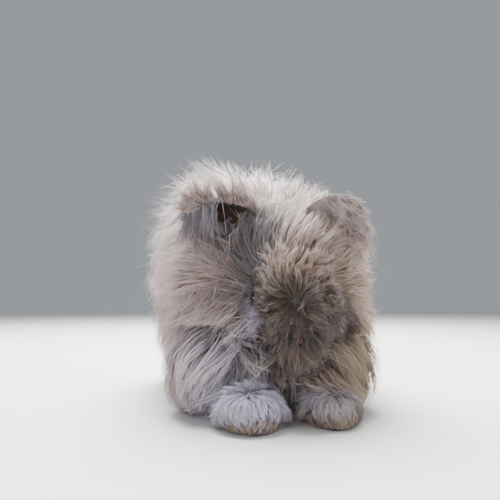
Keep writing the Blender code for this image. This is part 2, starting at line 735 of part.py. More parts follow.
            plan.append({"name": name + side, "kind": kind, "forms": [forms[side]], "tips": [reach[side]],
                         "size": (8, 14), "coats": [coat]})
    return plan


def core_object(name, entry, extra=0.0):
    if entry["kind"] == "ear":
        return ear_object(name, entry["ear"], extra)
    return skin_object(name, entry["forms"], entry["size"], extra, entry.get("pole", (0.0, 0.0, 1.0)))


def pieces_of(entry, extra=0.0):
    pieces = [lock_object(lock, extra) for lock in entry.get("locks", [])]
    if entry["kind"] == "head":
        pieces += [lid_object(sign, extra) for sign in (1.0, -1.0)]
        pieces.append(skin_object("nose", [head_ellipsoid(NOSE_PLACE, NOSE_RADII)], (6, 8), extra))
        for lip in head_pair((0.0052, -0.0490, -0.0545), (0.0066, 0.0060, 0.0052)):
            pieces.append(skin_object("lip", [lip], (5, 7), extra))
    return pieces


def face_cuts():
    # Nostrils, the cleft of the upper lip and the line of the mouth.
    cuts = []
    for nostril in head_pair((0.0040, -0.0570, -0.0455), (0.0024, 0.0030, 0.0010), 0.0, 35.0):
        cuts.append(skin_object("nostril", [nostril], (4, 6)))
    cleft = head_ellipsoid((0.0, -0.0560, -0.0530), (0.0006, 0.0045, 0.0060))
    cuts.append(skin_object("cleft", [cleft], (4, 6)))
    for mouth in head_pair((0.0050, -0.0520, -0.0600), (0.0070, 0.0090, 0.0007), 0.0, 22.0):
        cuts.append(skin_object("mouth", [mouth], (4, 8)))
    return cuts


def box_of(thing):
    corners = np.array([vertex.co for vertex in thing.data.vertices])
    return corners.min(axis=0), corners.max(axis=0)


def boxes_meet(first, second):
    return bool(np.all(first[0] <= second[1]) and np.all(second[0] <= first[1]))


def whole_locks(locks, loose):
    # The locks that have no corner among the loose ones.
    if not loose:
        return locks
    loose = np.array(loose)
    whole = []
    for lock in locks:
        corners, _ = lock_corners(lock)
        apart = np.array([np.linalg.norm(loose - np.array(corner), axis=1).min() for corner in corners])
        if apart.min() > SAME_CORNER:
            whole.append(lock)
    return whole


def cut_node(entry, earlier):
    # Core and locks in one union, less the floor and the grown pieces of the nodes that lie over them.
    node = core_object(entry["name"], entry)
    bpy.context.scene.collection.objects.link(node)
    combine(node, pieces_of(entry), "UNION")
    if entry["kind"] == "head":
        combine(node, face_cuts(), "DIFFERENCE")
    own_box = box_of(node)
    cutters = [floor_slab(0.0 if entry["kind"] == "paw" else WOOL_ABOVE_FLOOR)]
    for other in earlier:
        for cutter in [core_object("clear", other, CLEARANCE)] + pieces_of(other, CLEARANCE):
            if boxes_meet(own_box, box_of(cutter)):
                cutters.append(cutter)
            else:
                bpy.data.objects.remove(cutter, do_unlink=True)
    combine(node, cutters, "DIFFERENCE")
    melt_slivers(node)
    return node


def tree_of(thing):
    corners = [vertex.co for vertex in thing.data.vertices]
    return BVHTree.FromPolygons(corners, [face.vertices for face in thing.data.polygons])


def part_from(node, others):
    # Where the node still crosses another, copies of that one cut it, pushed a little to each side.
    for other in others:
        if not boxes_meet(box_of(node), box_of(other)) or not tree_of(node).overlap(tree_of(other)):
            continue
        cutters = []
        for push in PUSHES:
            cutter = bpy.data.objects.new("pushed", other.data.copy())
            cutter.data.transform(Matrix.Translation(Vector(push) * PUSH))
            cutters.append(cutter)
        combine(node, cutters, "DIFFERENCE")
        melt_slivers(node)
        keep_largest(node)


def build_node(entry, earlier, material, nodes):
    # A lock that another node cuts through is left out, and the node is made again without it.
    for _ in range(REBUILDS):
        node = cut_node(entry, earlier)
        loose = keep_largest(node)
        locks = entry.get("locks", [])
        whole = whole_locks(locks, loose)
        if len(whole) == len(locks):
            break
        entry["locks"] = whole
        bpy.data.objects.remove(node, do_unlink=True)
        node = None
    if node is None:
        node = cut_node(entry, earlier)
        keep_largest(node)
    part_from(node, nodes)
    node.data.materials.clear()
    node.data.materials.append(material)
    node.data.shade_smooth()
    node.data.set_sharp_from_angle(angle=math.radians(40.0))
    return node


def centre_on_origin(nodes):
    # Slides every node alike, so that the whole box is centred over the origin with its bottom at 0.
    corners = np.array([vertex.co for node in nodes for vertex in node.data.vertices])
    low = corners.min(axis=0)
    high = corners.max(axis=0)
    slide = Vector((-(low[0] + high[0]) / 2.0, -(low[1] + high[1]) / 2.0, -low[2]))
    for node in nodes:
        node.data.transform(Matrix.Translation(slide))


def main():
    clear_scene()
    materials = {kind: wool_material(kind + "_surface", colour) for kind, colour in WOOL_COLOURS.items()}
    plan = node_plan()
    coated = [entry for entry in plan if "coats" in entry]
    cores = [form for entry in coated for form in entry["forms"]]
    tips = [form for entry in coated for form in entry["tips"]]
    placed = []
    for entry in coated:
        entry["locks"] = []
        for coat in entry["coats"]:
            entry["locks"] += grow_locks(entry, coat, cores, tips, placed)
    nodes = []
    for position, entry in enumerate(plan):
        nodes.append(build_node(entry, plan[:position], materials[entry["kind"]], nodes))
    centre_on_origin(nodes)


main()
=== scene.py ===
import math
import bmesh
import bpy
import numpy as np
from mathutils import Euler, Matrix, Vector


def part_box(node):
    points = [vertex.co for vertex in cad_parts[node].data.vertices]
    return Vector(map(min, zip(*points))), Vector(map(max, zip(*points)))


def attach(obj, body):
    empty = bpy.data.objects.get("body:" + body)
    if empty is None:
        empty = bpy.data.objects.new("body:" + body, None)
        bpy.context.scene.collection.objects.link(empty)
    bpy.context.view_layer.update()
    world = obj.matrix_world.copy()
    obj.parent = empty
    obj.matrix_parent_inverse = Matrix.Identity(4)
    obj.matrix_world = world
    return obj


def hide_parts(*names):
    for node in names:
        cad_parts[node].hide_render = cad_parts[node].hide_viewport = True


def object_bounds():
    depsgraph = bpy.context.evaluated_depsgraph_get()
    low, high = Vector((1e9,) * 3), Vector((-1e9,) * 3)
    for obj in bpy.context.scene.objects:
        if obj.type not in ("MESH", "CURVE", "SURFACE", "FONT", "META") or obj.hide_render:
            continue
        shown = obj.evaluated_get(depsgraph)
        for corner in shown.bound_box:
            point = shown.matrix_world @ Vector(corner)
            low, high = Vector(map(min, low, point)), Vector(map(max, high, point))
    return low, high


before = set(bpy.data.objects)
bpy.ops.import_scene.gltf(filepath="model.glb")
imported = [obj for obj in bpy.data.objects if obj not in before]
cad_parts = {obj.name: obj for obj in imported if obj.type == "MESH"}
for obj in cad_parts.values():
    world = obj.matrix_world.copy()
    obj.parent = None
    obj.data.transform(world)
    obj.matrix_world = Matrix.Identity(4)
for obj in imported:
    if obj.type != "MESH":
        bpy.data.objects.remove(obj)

# An angora rabbit crouching with its head low over its forepaws, life size, in metres.
# It faces -Y and its left side is +X. Wool is solid three-sided strands, gathered in tufts.
cadLow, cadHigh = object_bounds()

headPose = {
    "centre": (0.016, -0.112, 0.118),  # before the slide below
    "yaw": -8.0,                       # degrees, towards its right
    "roll": -6.0,                      # degrees, crown leans to its right
    "eye": (0.0315, -0.020, -0.004),   # from the head's centre, left side
    "whorl": (0.0, -0.050, -0.014),    # the face's wool spreads from here
    "nose": (0.0, -0.0520, -0.046),
}


def rotation(axis, degrees):
    # the 3 x 3 turn by an angle about one axis
    return np.array(Matrix.Rotation(math.radians(degrees), 3, axis))


# The frame's left eye tells how far the whole model was slid to stand over the origin.
headTurn = rotation("Z", headPose["yaw"]) @ rotation("Y", headPose["roll"])
eyeLow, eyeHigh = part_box("eye_left")
eyeMiddle = (np.array(eyeLow) + np.array(eyeHigh)) / 2.0
slide = eyeMiddle - np.array(headPose["centre"]) - headTurn @ np.array(headPose["eye"])
slide[2] = 0.0
headCentre = np.array(headPose["centre"]) + slide


def onBody(point):
    # p + slide, for the places below, which were laid out before the slide
    return np.array(point) + slide


def onHead(point):
    # c + T p, from the head's own axes to the scene, with c its centre and T its turn
    return headCentre + headTurn @ np.array(point)


def toHead(points):
    # the way back, (p - c) T, for rows of points
    return (points - headCentre) @ headTurn


def mirrored(point):
    # (x, y, z) to (-x, y, z)
    return (-point[0], point[1], point[2])


# Soft forms: ellipsoids that melt into one another
def bodyForm(centre, radii):
    # an ellipsoid along the scene's axes
    return {"centre": onBody(centre), "radii": np.array(radii), "axes": np.eye(3)}


def headForm(centre, radii, tilt=0.0):
    # an ellipsoid along the head's axes, tilted in degrees about the head's X first
    axes = headTurn @ np.array(Euler((math.radians(tilt), 0.0, 0.0)).to_matrix())
    return {"centre": onHead(centre), "radii": np.array(radii), "axes": axes}


def bothSides(makeForm, centre, radii):
    # a form at (x, y, z) and one at (-x, y, z)
    return [makeForm(centre, radii), makeForm(mirrored(centre), radii)]


def formDistance(points, form):
    # k (k - 1) / g, where k = |p / r| and g = |p / r^2| in the ellipsoid's own axes
    local = (points - form["centre"]) @ form["axes"]
    first = np.linalg.norm(local / form["radii"], axis=-1)
    second = np.linalg.norm(local / form["radii"] ** 2, axis=-1) + 1e-9
    return first * (first - 1.0) / second


def blendDistance(points, forms, softness):
    # smooth minimum over the forms: m = b (1 - h) + a h - k h (1 - h), h = 0.5 + (b - a) / 2k
    distance = formDistance(points, forms[0])
    for form in forms[1:]:
        other = formDistance(points, form)
        share = np.clip(0.5 + 0.5 * (other - distance) / softness, 0.0, 1.0)
        distance = other * (1.0 - share) + distance * share - softness * share * (1.0 - share)
    return distance


def slopeOf(points, distance, step=0.0004):
    # central differences of a distance, made unit length
    slopes = []
    for axis in range(3):
        shift = np.zeros(3)
        shift[axis] = step
        slopes.append(distance(points + shift) - distance(points - shift))
    slope = np.stack(slopes, axis=-1)
    return slope / (np.linalg.norm(slope, axis=-1, keepdims=True) + 1e-12)


# What lies under the wool, and how far the tips of the coat reach
pawMiddles = (0.042, -0.029)     # x of the toes' middle, left and right
blendWidths = {"skin": 0.014, "tips": 0.018}
skinForms = {
    "torso": [
        bodyForm((0.0, 0.055, 0.122), (0.078, 0.100, 0.096)),
        bodyForm((0.0, -0.020, 0.120), (0.074, 0.068, 0.089)),
        bodyForm((0.0, -0.066, 0.062), (0.058, 0.034, 0.050)),
        bodyForm((0.0, 0.030, 0.050), (0.052, 0.076, 0.038)),
    ],
    "neck": [bodyForm((0.012, -0.072, 0.118), (0.072, 0.029, 0.066))],
    "head": [
        headForm((0.0, 0.004, 0.004), (0.0340, 0.042, 0.039)),
        headForm((0.0, 0.014, 0.026), (0.0390, 0.036, 0.034)),
        *bothSides(headForm, (0.0230, -0.004, -0.028), (0.020, 0.026, 0.025)),
        headForm((0.0, -0.026, -0.018), (0.0210, 0.0185, 0.028), 20.0),
        headForm((0.0, -0.035, -0.043), (0.0155, 0.0150, 0.0155)),
        *bothSides(headForm, (0.0075, -0.0440, -0.0510), (0.0085, 0.0080, 0.0075)),
        headForm((0.0, -0.0400, -0.0610), (0.0085, 0.0085, 0.0060)),
        *bothSides(headForm, (0.0270, -0.019, -0.004), (0.0095, 0.0125, 0.0115)),
    ],
    "forepaw": [
        bodyForm((0.042, -0.142, 0.0150), (0.0175, 0.027, 0.0150)),
        bodyForm((-0.031, -0.146, 0.0160), (0.0210, 0.029, 0.0160)),
    ],
    "toes": [bodyForm((middle + across, front + 0.0040 * abs(across / 0.0085) ** 1.5, 0.0072),
                      (0.0052, 0.0140, 0.0071))
             for middle, front in ((pawMiddles[0], -0.168), (pawMiddles[1], -0.175))
             for across in (-0.0138, -0.0046, 0.0046, 0.0138)],
    "foreleg": bothSides(bodyForm, (0.060, -0.082, 0.041), (0.022, 0.042, 0.036)),
    "thigh": bothSides(bodyForm, (0.064, 0.070, 0.064), (0.030, 0.064, 0.054)),
    "hindfoot": bothSides(bodyForm, (0.068, 0.002, 0.0120), (0.016, 0.056, 0.0120)),
    "tail": [bodyForm((0.0, 0.168, 0.100), (0.018, 0.022, 0.028))],
}
tipForms = [
    bodyForm((0.0, 0.060, 0.134), (0.134, 0.143, 0.142)),
    bodyForm((0.004, -0.020, 0.127), (0.132, 0.104, 0.135)),
    bodyForm((-0.056, 0.034, 0.178), (0.080, 0.100, 0.110)),
    bodyForm((0.0, -0.074, 0.070), (0.098, 0.056, 0.078)),
    bodyForm((-0.004, -0.098, 0.056), (0.084, 0.058, 0.044)),
    bodyForm((0.014, -0.068, 0.128), (0.114, 0.054, 0.096)),
    headForm((0.0, 0.020, 0.036), (0.066, 0.052, 0.048)),
    *bothSides(headForm, (0.038, -0.004, -0.036), (0.038, 0.040, 0.040)),
    headForm((0.0, -0.012, -0.002), (0.042, 0.042, 0.052)),
    headForm((0.0, -0.032, -0.030), (0.038, 0.030, 0.036)),
    headForm((0.0, -0.040, -0.056), (0.028, 0.023, 0.026)),
    bodyForm((0.042, -0.142, 0.016), (0.035, 0.040, 0.027)),
    bodyForm((-0.031, -0.146, 0.017), (0.041, 0.045, 0.030)),
    *bothSides(bodyForm, (0.074, -0.086, 0.046), (0.040, 0.064, 0.054)),
    *bothSides(bodyForm, (0.078, 0.072, 0.068), (0.049, 0.085, 0.070)),
    *bothSides(bodyForm, (0.073, 0.0, 0.014), (0.030, 0.068, 0.024)),
    bodyForm((0.0, 0.180, 0.104), (0.042, 0.042, 0.050)),
]
everySkinForm = [form for forms in skinForms.values() for form in forms]
carvings = [
    *bothSides(headForm, (0.0040, -0.0545, -0.0455), (0.0022, 0.0030, 0.0009)),  # nostrils
    headForm((0.0, -0.0560, -0.0540), (0.0006, 0.0050, 0.0065)),                # cleft of the lip
    *bothSides(headForm, (0.0060, -0.0500, -0.0590), (0.0085, 0.0100, 0.0007)),  # mouth
    *bothSides(headForm, headPose["eye"], (0.0082, 0.0082, 0.0082)),            # sockets
]


def bodyDistance(points):
    # smooth minimum over every form under the wool
    return blendDistance(points, everySkinForm, blendWidths["skin"])


def skinDistance(points):
    # the body with its carvings cut out, max(body, -carving) for each
    distance = bodyDistance(points)
    for form in carvings:
        distance = np.maximum(distance, -formDistance(points, form))
    return distance


def tipDistance(points):
    # smooth minimum over the forms that the coat's tips reach
    return blendDistance(points, tipForms, blendWidths["tips"])


def reachAlong(points, directions, distance, longest=0.14):
    # how far a ray runs before it leaves a form, by halving an interval
    low = np.zeros(points.shape[:-1])
    high = np.full(points.shape[:-1], longest)
    for _ in range(16):
        middle = (low + high) / 2.0
        outside = distance(points + directions * middle[..., None]) > 0.0
        high = np.where(outside, middle, high)
        low = np.where(outside, low, middle)
    return low


# Meshes from arrays
def makeMesh(name, corners, triangles, smooth=True):
    # corners in metres and rows of three corner numbers, as one mesh object at the origin
    mesh = bpy.data.meshes.new(name)
    mesh.vertices.add(len(corners))
    mesh.vertices.foreach_set("co", np.ascontiguousarray(corners, np.float32).ravel())
    mesh.loops.add(len(triangles) * 3)
    mesh.loops.foreach_set("vertex_index", np.ascontiguousarray(triangles, np.int32).ravel())
    mesh.polygons.add(len(triangles))
    mesh.polygons.foreach_set("loop_start", np.arange(0, len(triangles) * 3, 3, dtype=np.int32))
    mesh.polygons.foreach_set("use_smooth", np.full(len(triangles), smooth))
    mesh.update(calc_edges=True)
    piece = bpy.data.objects.new(name, mesh)
    bpy.context.scene.collection.objects.link(piece)
    return piece


def gridTriangles(rows, columns, around=False):
    # two triangles for each cell of a grid, whose columns may close on themselves
    row = np.arange(rows - 1)[:, None]
    column = np.arange(columns if around else columns - 1)[None, :]
    after = (column + 1) % columns
    first, second = row * columns + column, row * columns + after
    third, fourth = (row + 1) * columns + after, (row + 1) * columns + column
    return np.concatenate([np.stack([first, second, third], -1).reshape(-1, 3),
                           np.stack([first, third, fourth], -1).reshape(-1, 3)])


def ellipsoidSurface(form, rows=16, columns=24):
    # r (cos b cos a, cos b sin a, sin b) over latitude b and longitude a, with one corner at each pole
    tilt = np.linspace(-math.pi / 2, math.pi / 2, rows + 1)[1:-1, None]
    turn = np.linspace(0.0, 2.0 * math.pi, columns, endpoint=False)[None, :]
    ring = np.stack([np.cos(tilt) * np.cos(turn), np.cos(tilt) * np.sin(turn),
                     np.sin(tilt) + 0.0 * turn], axis=-1).reshape(-1, 3)
    unit = np.concatenate([ring, [(0.0, 0.0, -1.0), (0.0, 0.0, 1.0)]])
    corners = form["centre"] + (unit * form["radii"]) @ form["axes"].T
    count = len(ring)
    column = np.arange(columns)
    after = (column + 1) % columns
    south = np.stack([after, column, np.full(columns, count)], axis=-1)
    north = np.stack([column, after, np.full(columns, columns + 1)], axis=-1) + count - columns
    return corners, np.concatenate([gridTriangles(rows - 1, columns, True), south, north])


def joined(surfaces):
    # all corners in one list, each surface's triangles counted on from the corners before it
    corners, triangles, start = [], [], 0
    for points, faces in surfaces:
        corners.append(points)
        triangles.append(faces + start)
        start += len(points)
    return np.concatenate(corners), np.concatenate(triangles)


def setAttribute(mesh, name, values):
    # one number a corner, for the materials to read
    attribute = mesh.attributes.new(name, "FLOAT", "POINT")
    attribute.data.foreach_set("value", np.ascontiguousarray(values, np.float32))


def meshArrays(mesh):
    # a mesh's corners, and its faces cut into triangles
    corners = np.empty(len(mesh.vertices) * 3, np.float32)
    mesh.vertices.foreach_get("co", corners)
    mesh.calc_loop_triangles()
    triangles = np.empty(len(mesh.loop_triangles) * 3, np.int32)
    mesh.loop_triangles.foreach_get("vertices", triangles)
    return corners.reshape(-1, 3).astype(float), triangles.reshape(-1, 3)


# Markings, painted shade and painted light, the same for skin and wool: each is 1 in its middle and fades to 0
def fade(value, inner, outer):
    # s^2 (3 - 2 s), with s = (outer - v) / (outer - inner) held between 0 and 1
    share = np.clip((outer - value) / (outer - inner), 0.0, 1.0)
    return share * share * (3.0 - 2.0 * share)


def roundMark(local, middle, inner, outer, radii=(1.0, 1.0, 1.0)):
    # 1 within the inner distance of a middle, 0 beyond the outer one
    return fade(np.linalg.norm((local - np.array(middle)) / np.array(radii), axis=-1), inner, outer)


def eyePlace(side):
    # in the head's axes, with x times the side's sign
    return np.array(headPose["eye"]) * (side, 1.0, 1.0)


# Middle in the head's axes, inner and outer distance, and radii to divide by where the mark isn't round
roundMarks = {
    "mask": ((0.006, -0.042, -0.040), 0.74, 1.16, (0.066, 0.052, 0.046)),
    # bridge: painted shade of the hollow above the nose, carried into the pocket's near-black
    "bridge": ((0.0, -0.047, -0.036), 0.0045, 0.0105),
    "nose": (headPose["nose"], 0.0050, 0.0095),
    "muzzle": ((0.0, -0.046, -0.060), 0.006, 0.016),
    "cheek": ((-0.038, -0.010, -0.018), 0.45, 1.0, (0.022, 0.030, 0.026)),
    # darker grey by the right ear; the same dark grey is painted shade on the left forepaw
    "greyAndShade": ((-0.032, -0.012, 0.026), 0.014, 0.030),
    # brown band under the crown wool, darkened as painted shade under the crown's overhang
    "brow": ((0.012, -0.030, 0.008), 0.5, 1.1, (0.034, 0.030, 0.014)),
    "maskAtLeftEye": (eyePlace(1.0), 0.011, 0.022),
    "maskAtRightEye": (eyePlace(-1.0), 0.011, 0.022),
    # pocket: painted shade, near-black wool and skin round the right eye in the hollow between crown and cheek
    # wool
    "pocketShade": (eyePlace(-1.0), 0.0090, 0.0160),
}
# Sign, axis, inner and outer place of each band; a mark is the product of its bands
bandMarks = {
    "warm": ((1.0, 2, 0.05, 0.20), (-1.0, 0, -0.03, 0.04)),
    "bib": ((1.0, 1, -0.095, -0.050), (1.0, 2, 0.060, 0.10), (1.0, 0, 0.00, 0.07), (-1.0, 0, 0.045, 0.088)),
    # cream-white tips over the top of the back, made paler as painted light where the top is backlit
    "paleTopAndBacklight": ((-1.0, 1, 0.02, 0.11), (-1.0, 2, -0.22, -0.11)),
}
# the bridge's share is painted shade above the nose; the left paw's share sets both its white and its painted
# shade
markShares = {"leftEye": 0.4, "rightEye": 0.9, "bridge": 0.8, "leftPawShade": 0.35, "bib": 0.75}
toeFade, toeGapShadeFade, pawFade, chinFade = (0.0010, 0.0080), (0.0004, 0.0019), (0.9, 1.9), (0.003, 0.008)
toeSplits = slide[0] + np.array([middle + aside for middle in pawMiddles for aside in (-0.0092, 0.0, 0.0092)])


def bandMark(points, bands):
    # the product of a fade along one axis for each band
    mark = np.ones(len(points))
    for sign, axis, inner, outer in bands:
        mark = mark * fade(sign * points[:, axis], inner, outer)
    return mark


def nearestForm(points, forms):
    # least distance to any of the forms
    return np.min([formDistance(points, form) for form in forms], axis=0)


def markingsAt(points):
    # The greatest of the marks that share a colour; the bib keeps off the head, and painted shade darkens the
    # toes where x is near one of the gaps between them.
    local = toHead(points)
    marks = {name: roundMark(local, *values) for name, values in roundMarks.items()}
    marks.update({name: bandMark(points, bands) for name, bands in bandMarks.items()})
    mask = np.maximum(marks["mask"], markShares["leftEye"] * marks["maskAtLeftEye"])
    mask = np.maximum(mask, markShares["rightEye"] * marks["maskAtRightEye"])
    # painted shade round the right eye and in the hollow above the nose
    pocketShade = np.maximum(marks["pocketShade"], markShares["bridge"] * marks["bridge"])
    toe = fade(nearestForm(points, skinForms["toes"]), *toeFade)
    # painted shade in the gaps between the toes
    toeGapShade = toe * fade(np.abs(points[:, 0, None] - toeSplits).min(axis=1), *toeGapShadeFade)
    greyAndShade, paw = marks["greyAndShade"], np.zeros(len(points))
    # the left forepaw is less white and takes the dark grey: painted shade
    for form, share in zip(skinForms["forepaw"], (markShares["leftPawShade"], 1.0)):
        inside = fade(np.linalg.norm((points - form["centre"]) / (form["radii"] * 1.5), axis=-1), *pawFade)
        paw = np.maximum(paw, inside * share)
        if share < 1.0:
            greyAndShade = np.maximum(greyAndShade, share * inside)
    offHead = 1.0 - fade(nearestForm(points, skinForms["head"]), *chinFade)
    return {"mask": mask, "nose": marks["nose"], "muzzle": marks["muzzle"], "greyAndShade": greyAndShade, "brow": marks["brow"],
            "pocketShade": pocketShade, "white": np.maximum(paw, marks["cheek"]),
            "cream": marks["bib"] * offHead * markShares["bib"], "toe": toe, "toeGapShade": toeGapShade,
            "warm": marks["warm"], "paleTopAndBacklight": marks["paleTopAndBacklight"]}


def writeMarkings(mesh, marks, repeats=1):
    # each mark's numbers, repeated for every corner of a strand
    for name, values in marks.items():
        setAttribute(mesh, name, np.repeat(values, repeats))


def sphereMap(points, middle):
    # longitude and latitude round a middle, an unwrap of the skin's own round shape
    away = points - middle
    away = away / (np.linalg.norm(away, axis=-1, keepdims=True) + 1e-9)
    across = 0.5 + np.arctan2(away[:, 0], away[:, 2]) / (2.0 * math.pi)
    along = 0.5 + np.arcsin(np.clip(away[:, 1], -1.0, 1.0)) / math.pi
    return np.stack([0.01 + 0.97 * across, 0.01 + 0.97 * along], axis=-1)


# Ears: a rolled leaf with a wall
ears = {
    "root": (0.031, 0.006, 0.056), "length": 0.072, "width": 0.048, "wall": 0.0024,
    "arc": (150.0, 75.0), "rows": 34, "across": 15,  # degrees of roll at root and tip
    "left": {"side": 1.0, "rise": 16.0, "back": 22.0, "stretch": 0.86},
    "right": {"side": -1.0, "rise": 26.0, "back": 6.0, "stretch": 1.0},
}


def earPoint(share, column, sign):
    # Half width W sin(pi (0.14 + 0.84 s)^0.75)^0.6 at share s, bent round the arc;
    # column runs across from -0.5 to 0.5, sign tells the outer face from the inner one
    fullness = np.sin(math.pi * (0.14 + 0.84 * share) ** 0.75) ** 0.6
    roll = np.radians(ears["arc"][0] - (ears["arc"][0] - ears["arc"][1]) * share)
    radius = ears["width"] / 2.0 * fullness / np.sin(roll / 2.0)
    reach = radius + sign * ears["wall"] * (1.0 - 0.5 * share) / 2.0
    angle = roll * column
    middle = np.cos(roll / 2.0) * radius
    point = np.stack([share * ears["length"] + 0.0 * angle, np.cos(angle) * reach - middle,
                      np.sin(angle) * reach], axis=-1)
    return point, np.stack([0.0 * angle, np.cos(angle) * sign, np.sin(angle) * sign], axis=-1)


def earPlace(which):
    # the turn from the leaf's own axes and the place of its root
    ear = ears[which]
    side = np.diag((ear["side"], 1.0, 1.0))
    lift = rotation("Z", ear["back"]) @ rotation("Y", -ear["rise"]) @ np.diag((ear["stretch"], 1.0, 1.0))
    return headTurn @ side @ lift, headCentre + headTurn @ side @ np.array(ears["root"])


def earSurface(which):
    # outer face first and back along the inner one, closed at both ends
    rows, across = ears["rows"], ears["across"]
    share = np.linspace(0.0, 1.0, rows)[:, None]
    column = np.linspace(-0.5, 0.5, across)[None, :]
    outer, _ = earPoint(share, column, 1.0)
    inner, _ = earPoint(share, -column, -1.0)
    ring = np.concatenate([outer, inner], axis=1)
    columns = ring.shape[1]
    caps = []
    for start in (0, (rows - 1) * columns):
        near = np.arange(across - 1)
        far = columns - 1 - near
        caps.append(np.stack([near, near + 1, far], -1) + start)
        caps.append(np.stack([near + 1, far - 1, far], -1) + start)
    turn, root = earPlace(which)
    return root + ring.reshape(-1, 3) @ turn.T, np.concatenate([gridTriangles(rows, columns, True)] + caps)


# The skin: all forms fused on a fine voxel grid, then drawn onto their smooth blend
skinSettings = {"voxel": 0.0030, "faceReach": 0.022, "rounds": 6, "furthest": 0.004, "lowest": 0.0002}


def refineFace(mesh):
    # splits every edge that starts near the nose or an eye, twice
    places = [onHead(headPose["nose"]), onHead(eyePlace(1.0)), onHead(eyePlace(-1.0))]
    for _ in range(2):
        corners = np.empty(len(mesh.vertices) * 3, np.float32)
        mesh.vertices.foreach_get("co", corners)
        ends = np.empty(len(mesh.edges) * 2, np.int32)
        mesh.edges.foreach_get("vertices", ends)
        starts = corners.reshape(-1, 3)[ends[::2]]
        gaps = np.min([np.linalg.norm(starts - place, axis=1) for place in places], axis=0)
        work = bmesh.new()
        work.from_mesh(mesh)
        work.edges.ensure_lookup_table()
        near = [work.edges[index] for index in np.flatnonzero(gaps < skinSettings["faceReach"])]
        bmesh.ops.subdivide_edges(work, edges=near, cuts=1, use_grid_fill=True)
        bmesh.ops.triangulate(work, faces=[face for face in work.faces if len(face.verts) > 4])
        work.to_mesh(mesh)
        work.free()


def faceOutwards(mesh):
    # closed shells only: turns every face to the outside
    work = bmesh.new()
    work.from_mesh(mesh)
    bmesh.ops.recalc_face_normals(work, faces=work.faces[:])
    work.to_mesh(mesh)
    work.free()


def makeSkin():
    # fuses the forms, then moves each corner p by -d n, with d its distance and n the slope, a few times
    corners, triangles = joined([ellipsoidSurface(form) for form in everySkinForm])
    rough = makeMesh("skinRough", corners, triangles)
    fuse = rough.modifiers.new("fuse", "REMESH")
    fuse.mode = "VOXEL"
    fuse.voxel_size = skinSettings["voxel"]
    bpy.context.view_layer.update()
    mesh = bpy.data.meshes.new_from_object(rough.evaluated_get(bpy.context.evaluated_depsgraph_get()))
    bpy.data.objects.remove(rough, do_unlink=True)
    refineFace(mesh)
    corners, triangles = meshArrays(mesh)
    bpy.data.meshes.remove(mesh)
    for _ in range(skinSettings["rounds"]):
        step = np.clip(skinDistance(corners), -skinSettings["furthest"], skinSettings["furthest"])
        corners = corners - slopeOf(corners, skinDistance) * step[:, None]
    corners[:, 2] = np.maximum(corners[:, 2], skinSettings["lowest"])
    return corners, triangles


bodyCorners, bodyTriangles = makeSkin()
earParts = {which: earSurface(which) for which in ("left", "right")}
skinCorners, skinTriangles = joined([(bodyCorners, bodyTriangles)] + list(earParts.values()))
skin = makeMesh("skin", skinCorners, skinTriangles)
faceOutwards(skin.data)
writeMarkings(skin.data, markingsAt(skinCorners))
earShare = np.zeros(len(skinCorners))  # how much of the ear's own colour: some on the left, all on the right
earShare[len(bodyCorners):] = np.repeat((0.35, 1.0), [len(part[0]) for part in earParts.values()])
setAttribute(skin.data, "ear", earShare)
acrossEar = np.linspace(0.0, 1.0, ears["across"])
# for the painted shade inside the right ear, darkest under its upper rim
shadeUnderRim = np.zeros(len(skinCorners))  # 0 at the ear's lower edge, 1 at its upper one
shadeUnderRim[len(bodyCorners):] = np.tile(np.concatenate([acrossEar, acrossEar[::-1]]), 2 * ears["rows"])
setAttribute(skin.data, "shadeUnderRim", shadeUnderRim)
print("skin", len(skinTriangles), "triangles")


# Lies: the way the wool runs at each place
betweenPaws = 0.005  # x of the gap between the forepaws


def bodyLie(points, normals):
    # (0.45 a, 0.9 - 0.35 |a| - 1.6 f, -0.25 - 0.8 |a| - 1.2 f - 1.2 r): back and down, with a how far aside,
    # f and r how much the skin faces forwards and backwards
    aside = np.clip(points[:, 0] / 0.08, -1.0, 1.0)
    front = np.clip(-normals[:, 1] - 0.35, 0.0, 1.0)
    rump = np.clip(normals[:, 1] - 0.35, 0.0, 1.0)
    return np.stack([0.45 * aside, 0.9 - 0.35 * np.abs(aside) - 1.6 * front,
                     -0.25 - 0.8 * np.abs(aside) - 1.2 * front - 1.2 * rump], axis=1)


def ruffLie(points, normals):
    # (1 - l / 2) u + (0, 0.35, -0.45) + l (0.6 s, 0, -0.9): u away from the head's centre, l how low,
    # s the side
    away = points - headCentre
    away /= np.linalg.norm(away, axis=1, keepdims=True)
    low = np.clip((0.125 - points[:, 2]) / 0.05, 0.0, 1.0)[:, None]
    aside = np.sign(points[:, :1] - headCentre[0])
    hang = aside * (0.6, 0.0, 0.0) + (0.0, 0.0, -0.9)
    return away * (1.0 - 0.5 * low) + np.array((0.0, 0.35, -0.45)) + low * hang


def headLie(points, normals):
    # u + c (0.9, 0.2, 0.35) + k (0, 0.1, -0.7) in the head's axes: u away from the whorl, c and k how far up
    # on the crown and down on the cheeks
    local = toHead(points)
    away = local - np.array(headPose["whorl"])
    away /= np.linalg.norm(away, axis=1, keepdims=True)
    crown = np.clip(local[:, 2] / 0.04, 0.0, 1.0)[:, None]
    cheek = np.clip(-local[:, 2] / 0.03, 0.0, 1.0)[:, None]
    lie = away + crown * np.array((0.90, 0.20, 0.35)) + cheek * np.array((0.0, 0.1, -0.7))
    return lie @ headTurn.T


def lieFrom(above, hang=0.0):
    # u - (0, 0, hang), with u away from a point on each side
    def lie(points, normals):
        middle = np.tile(np.array(above), (len(points), 1))
        middle[:, 0] *= np.sign(points[:, 0] - slide[0])
        away = points - slide - middle
        away /= np.linalg.norm(away, axis=1, keepdims=True)
        return away - np.array((0.0, 0.0, hang))
    return lie


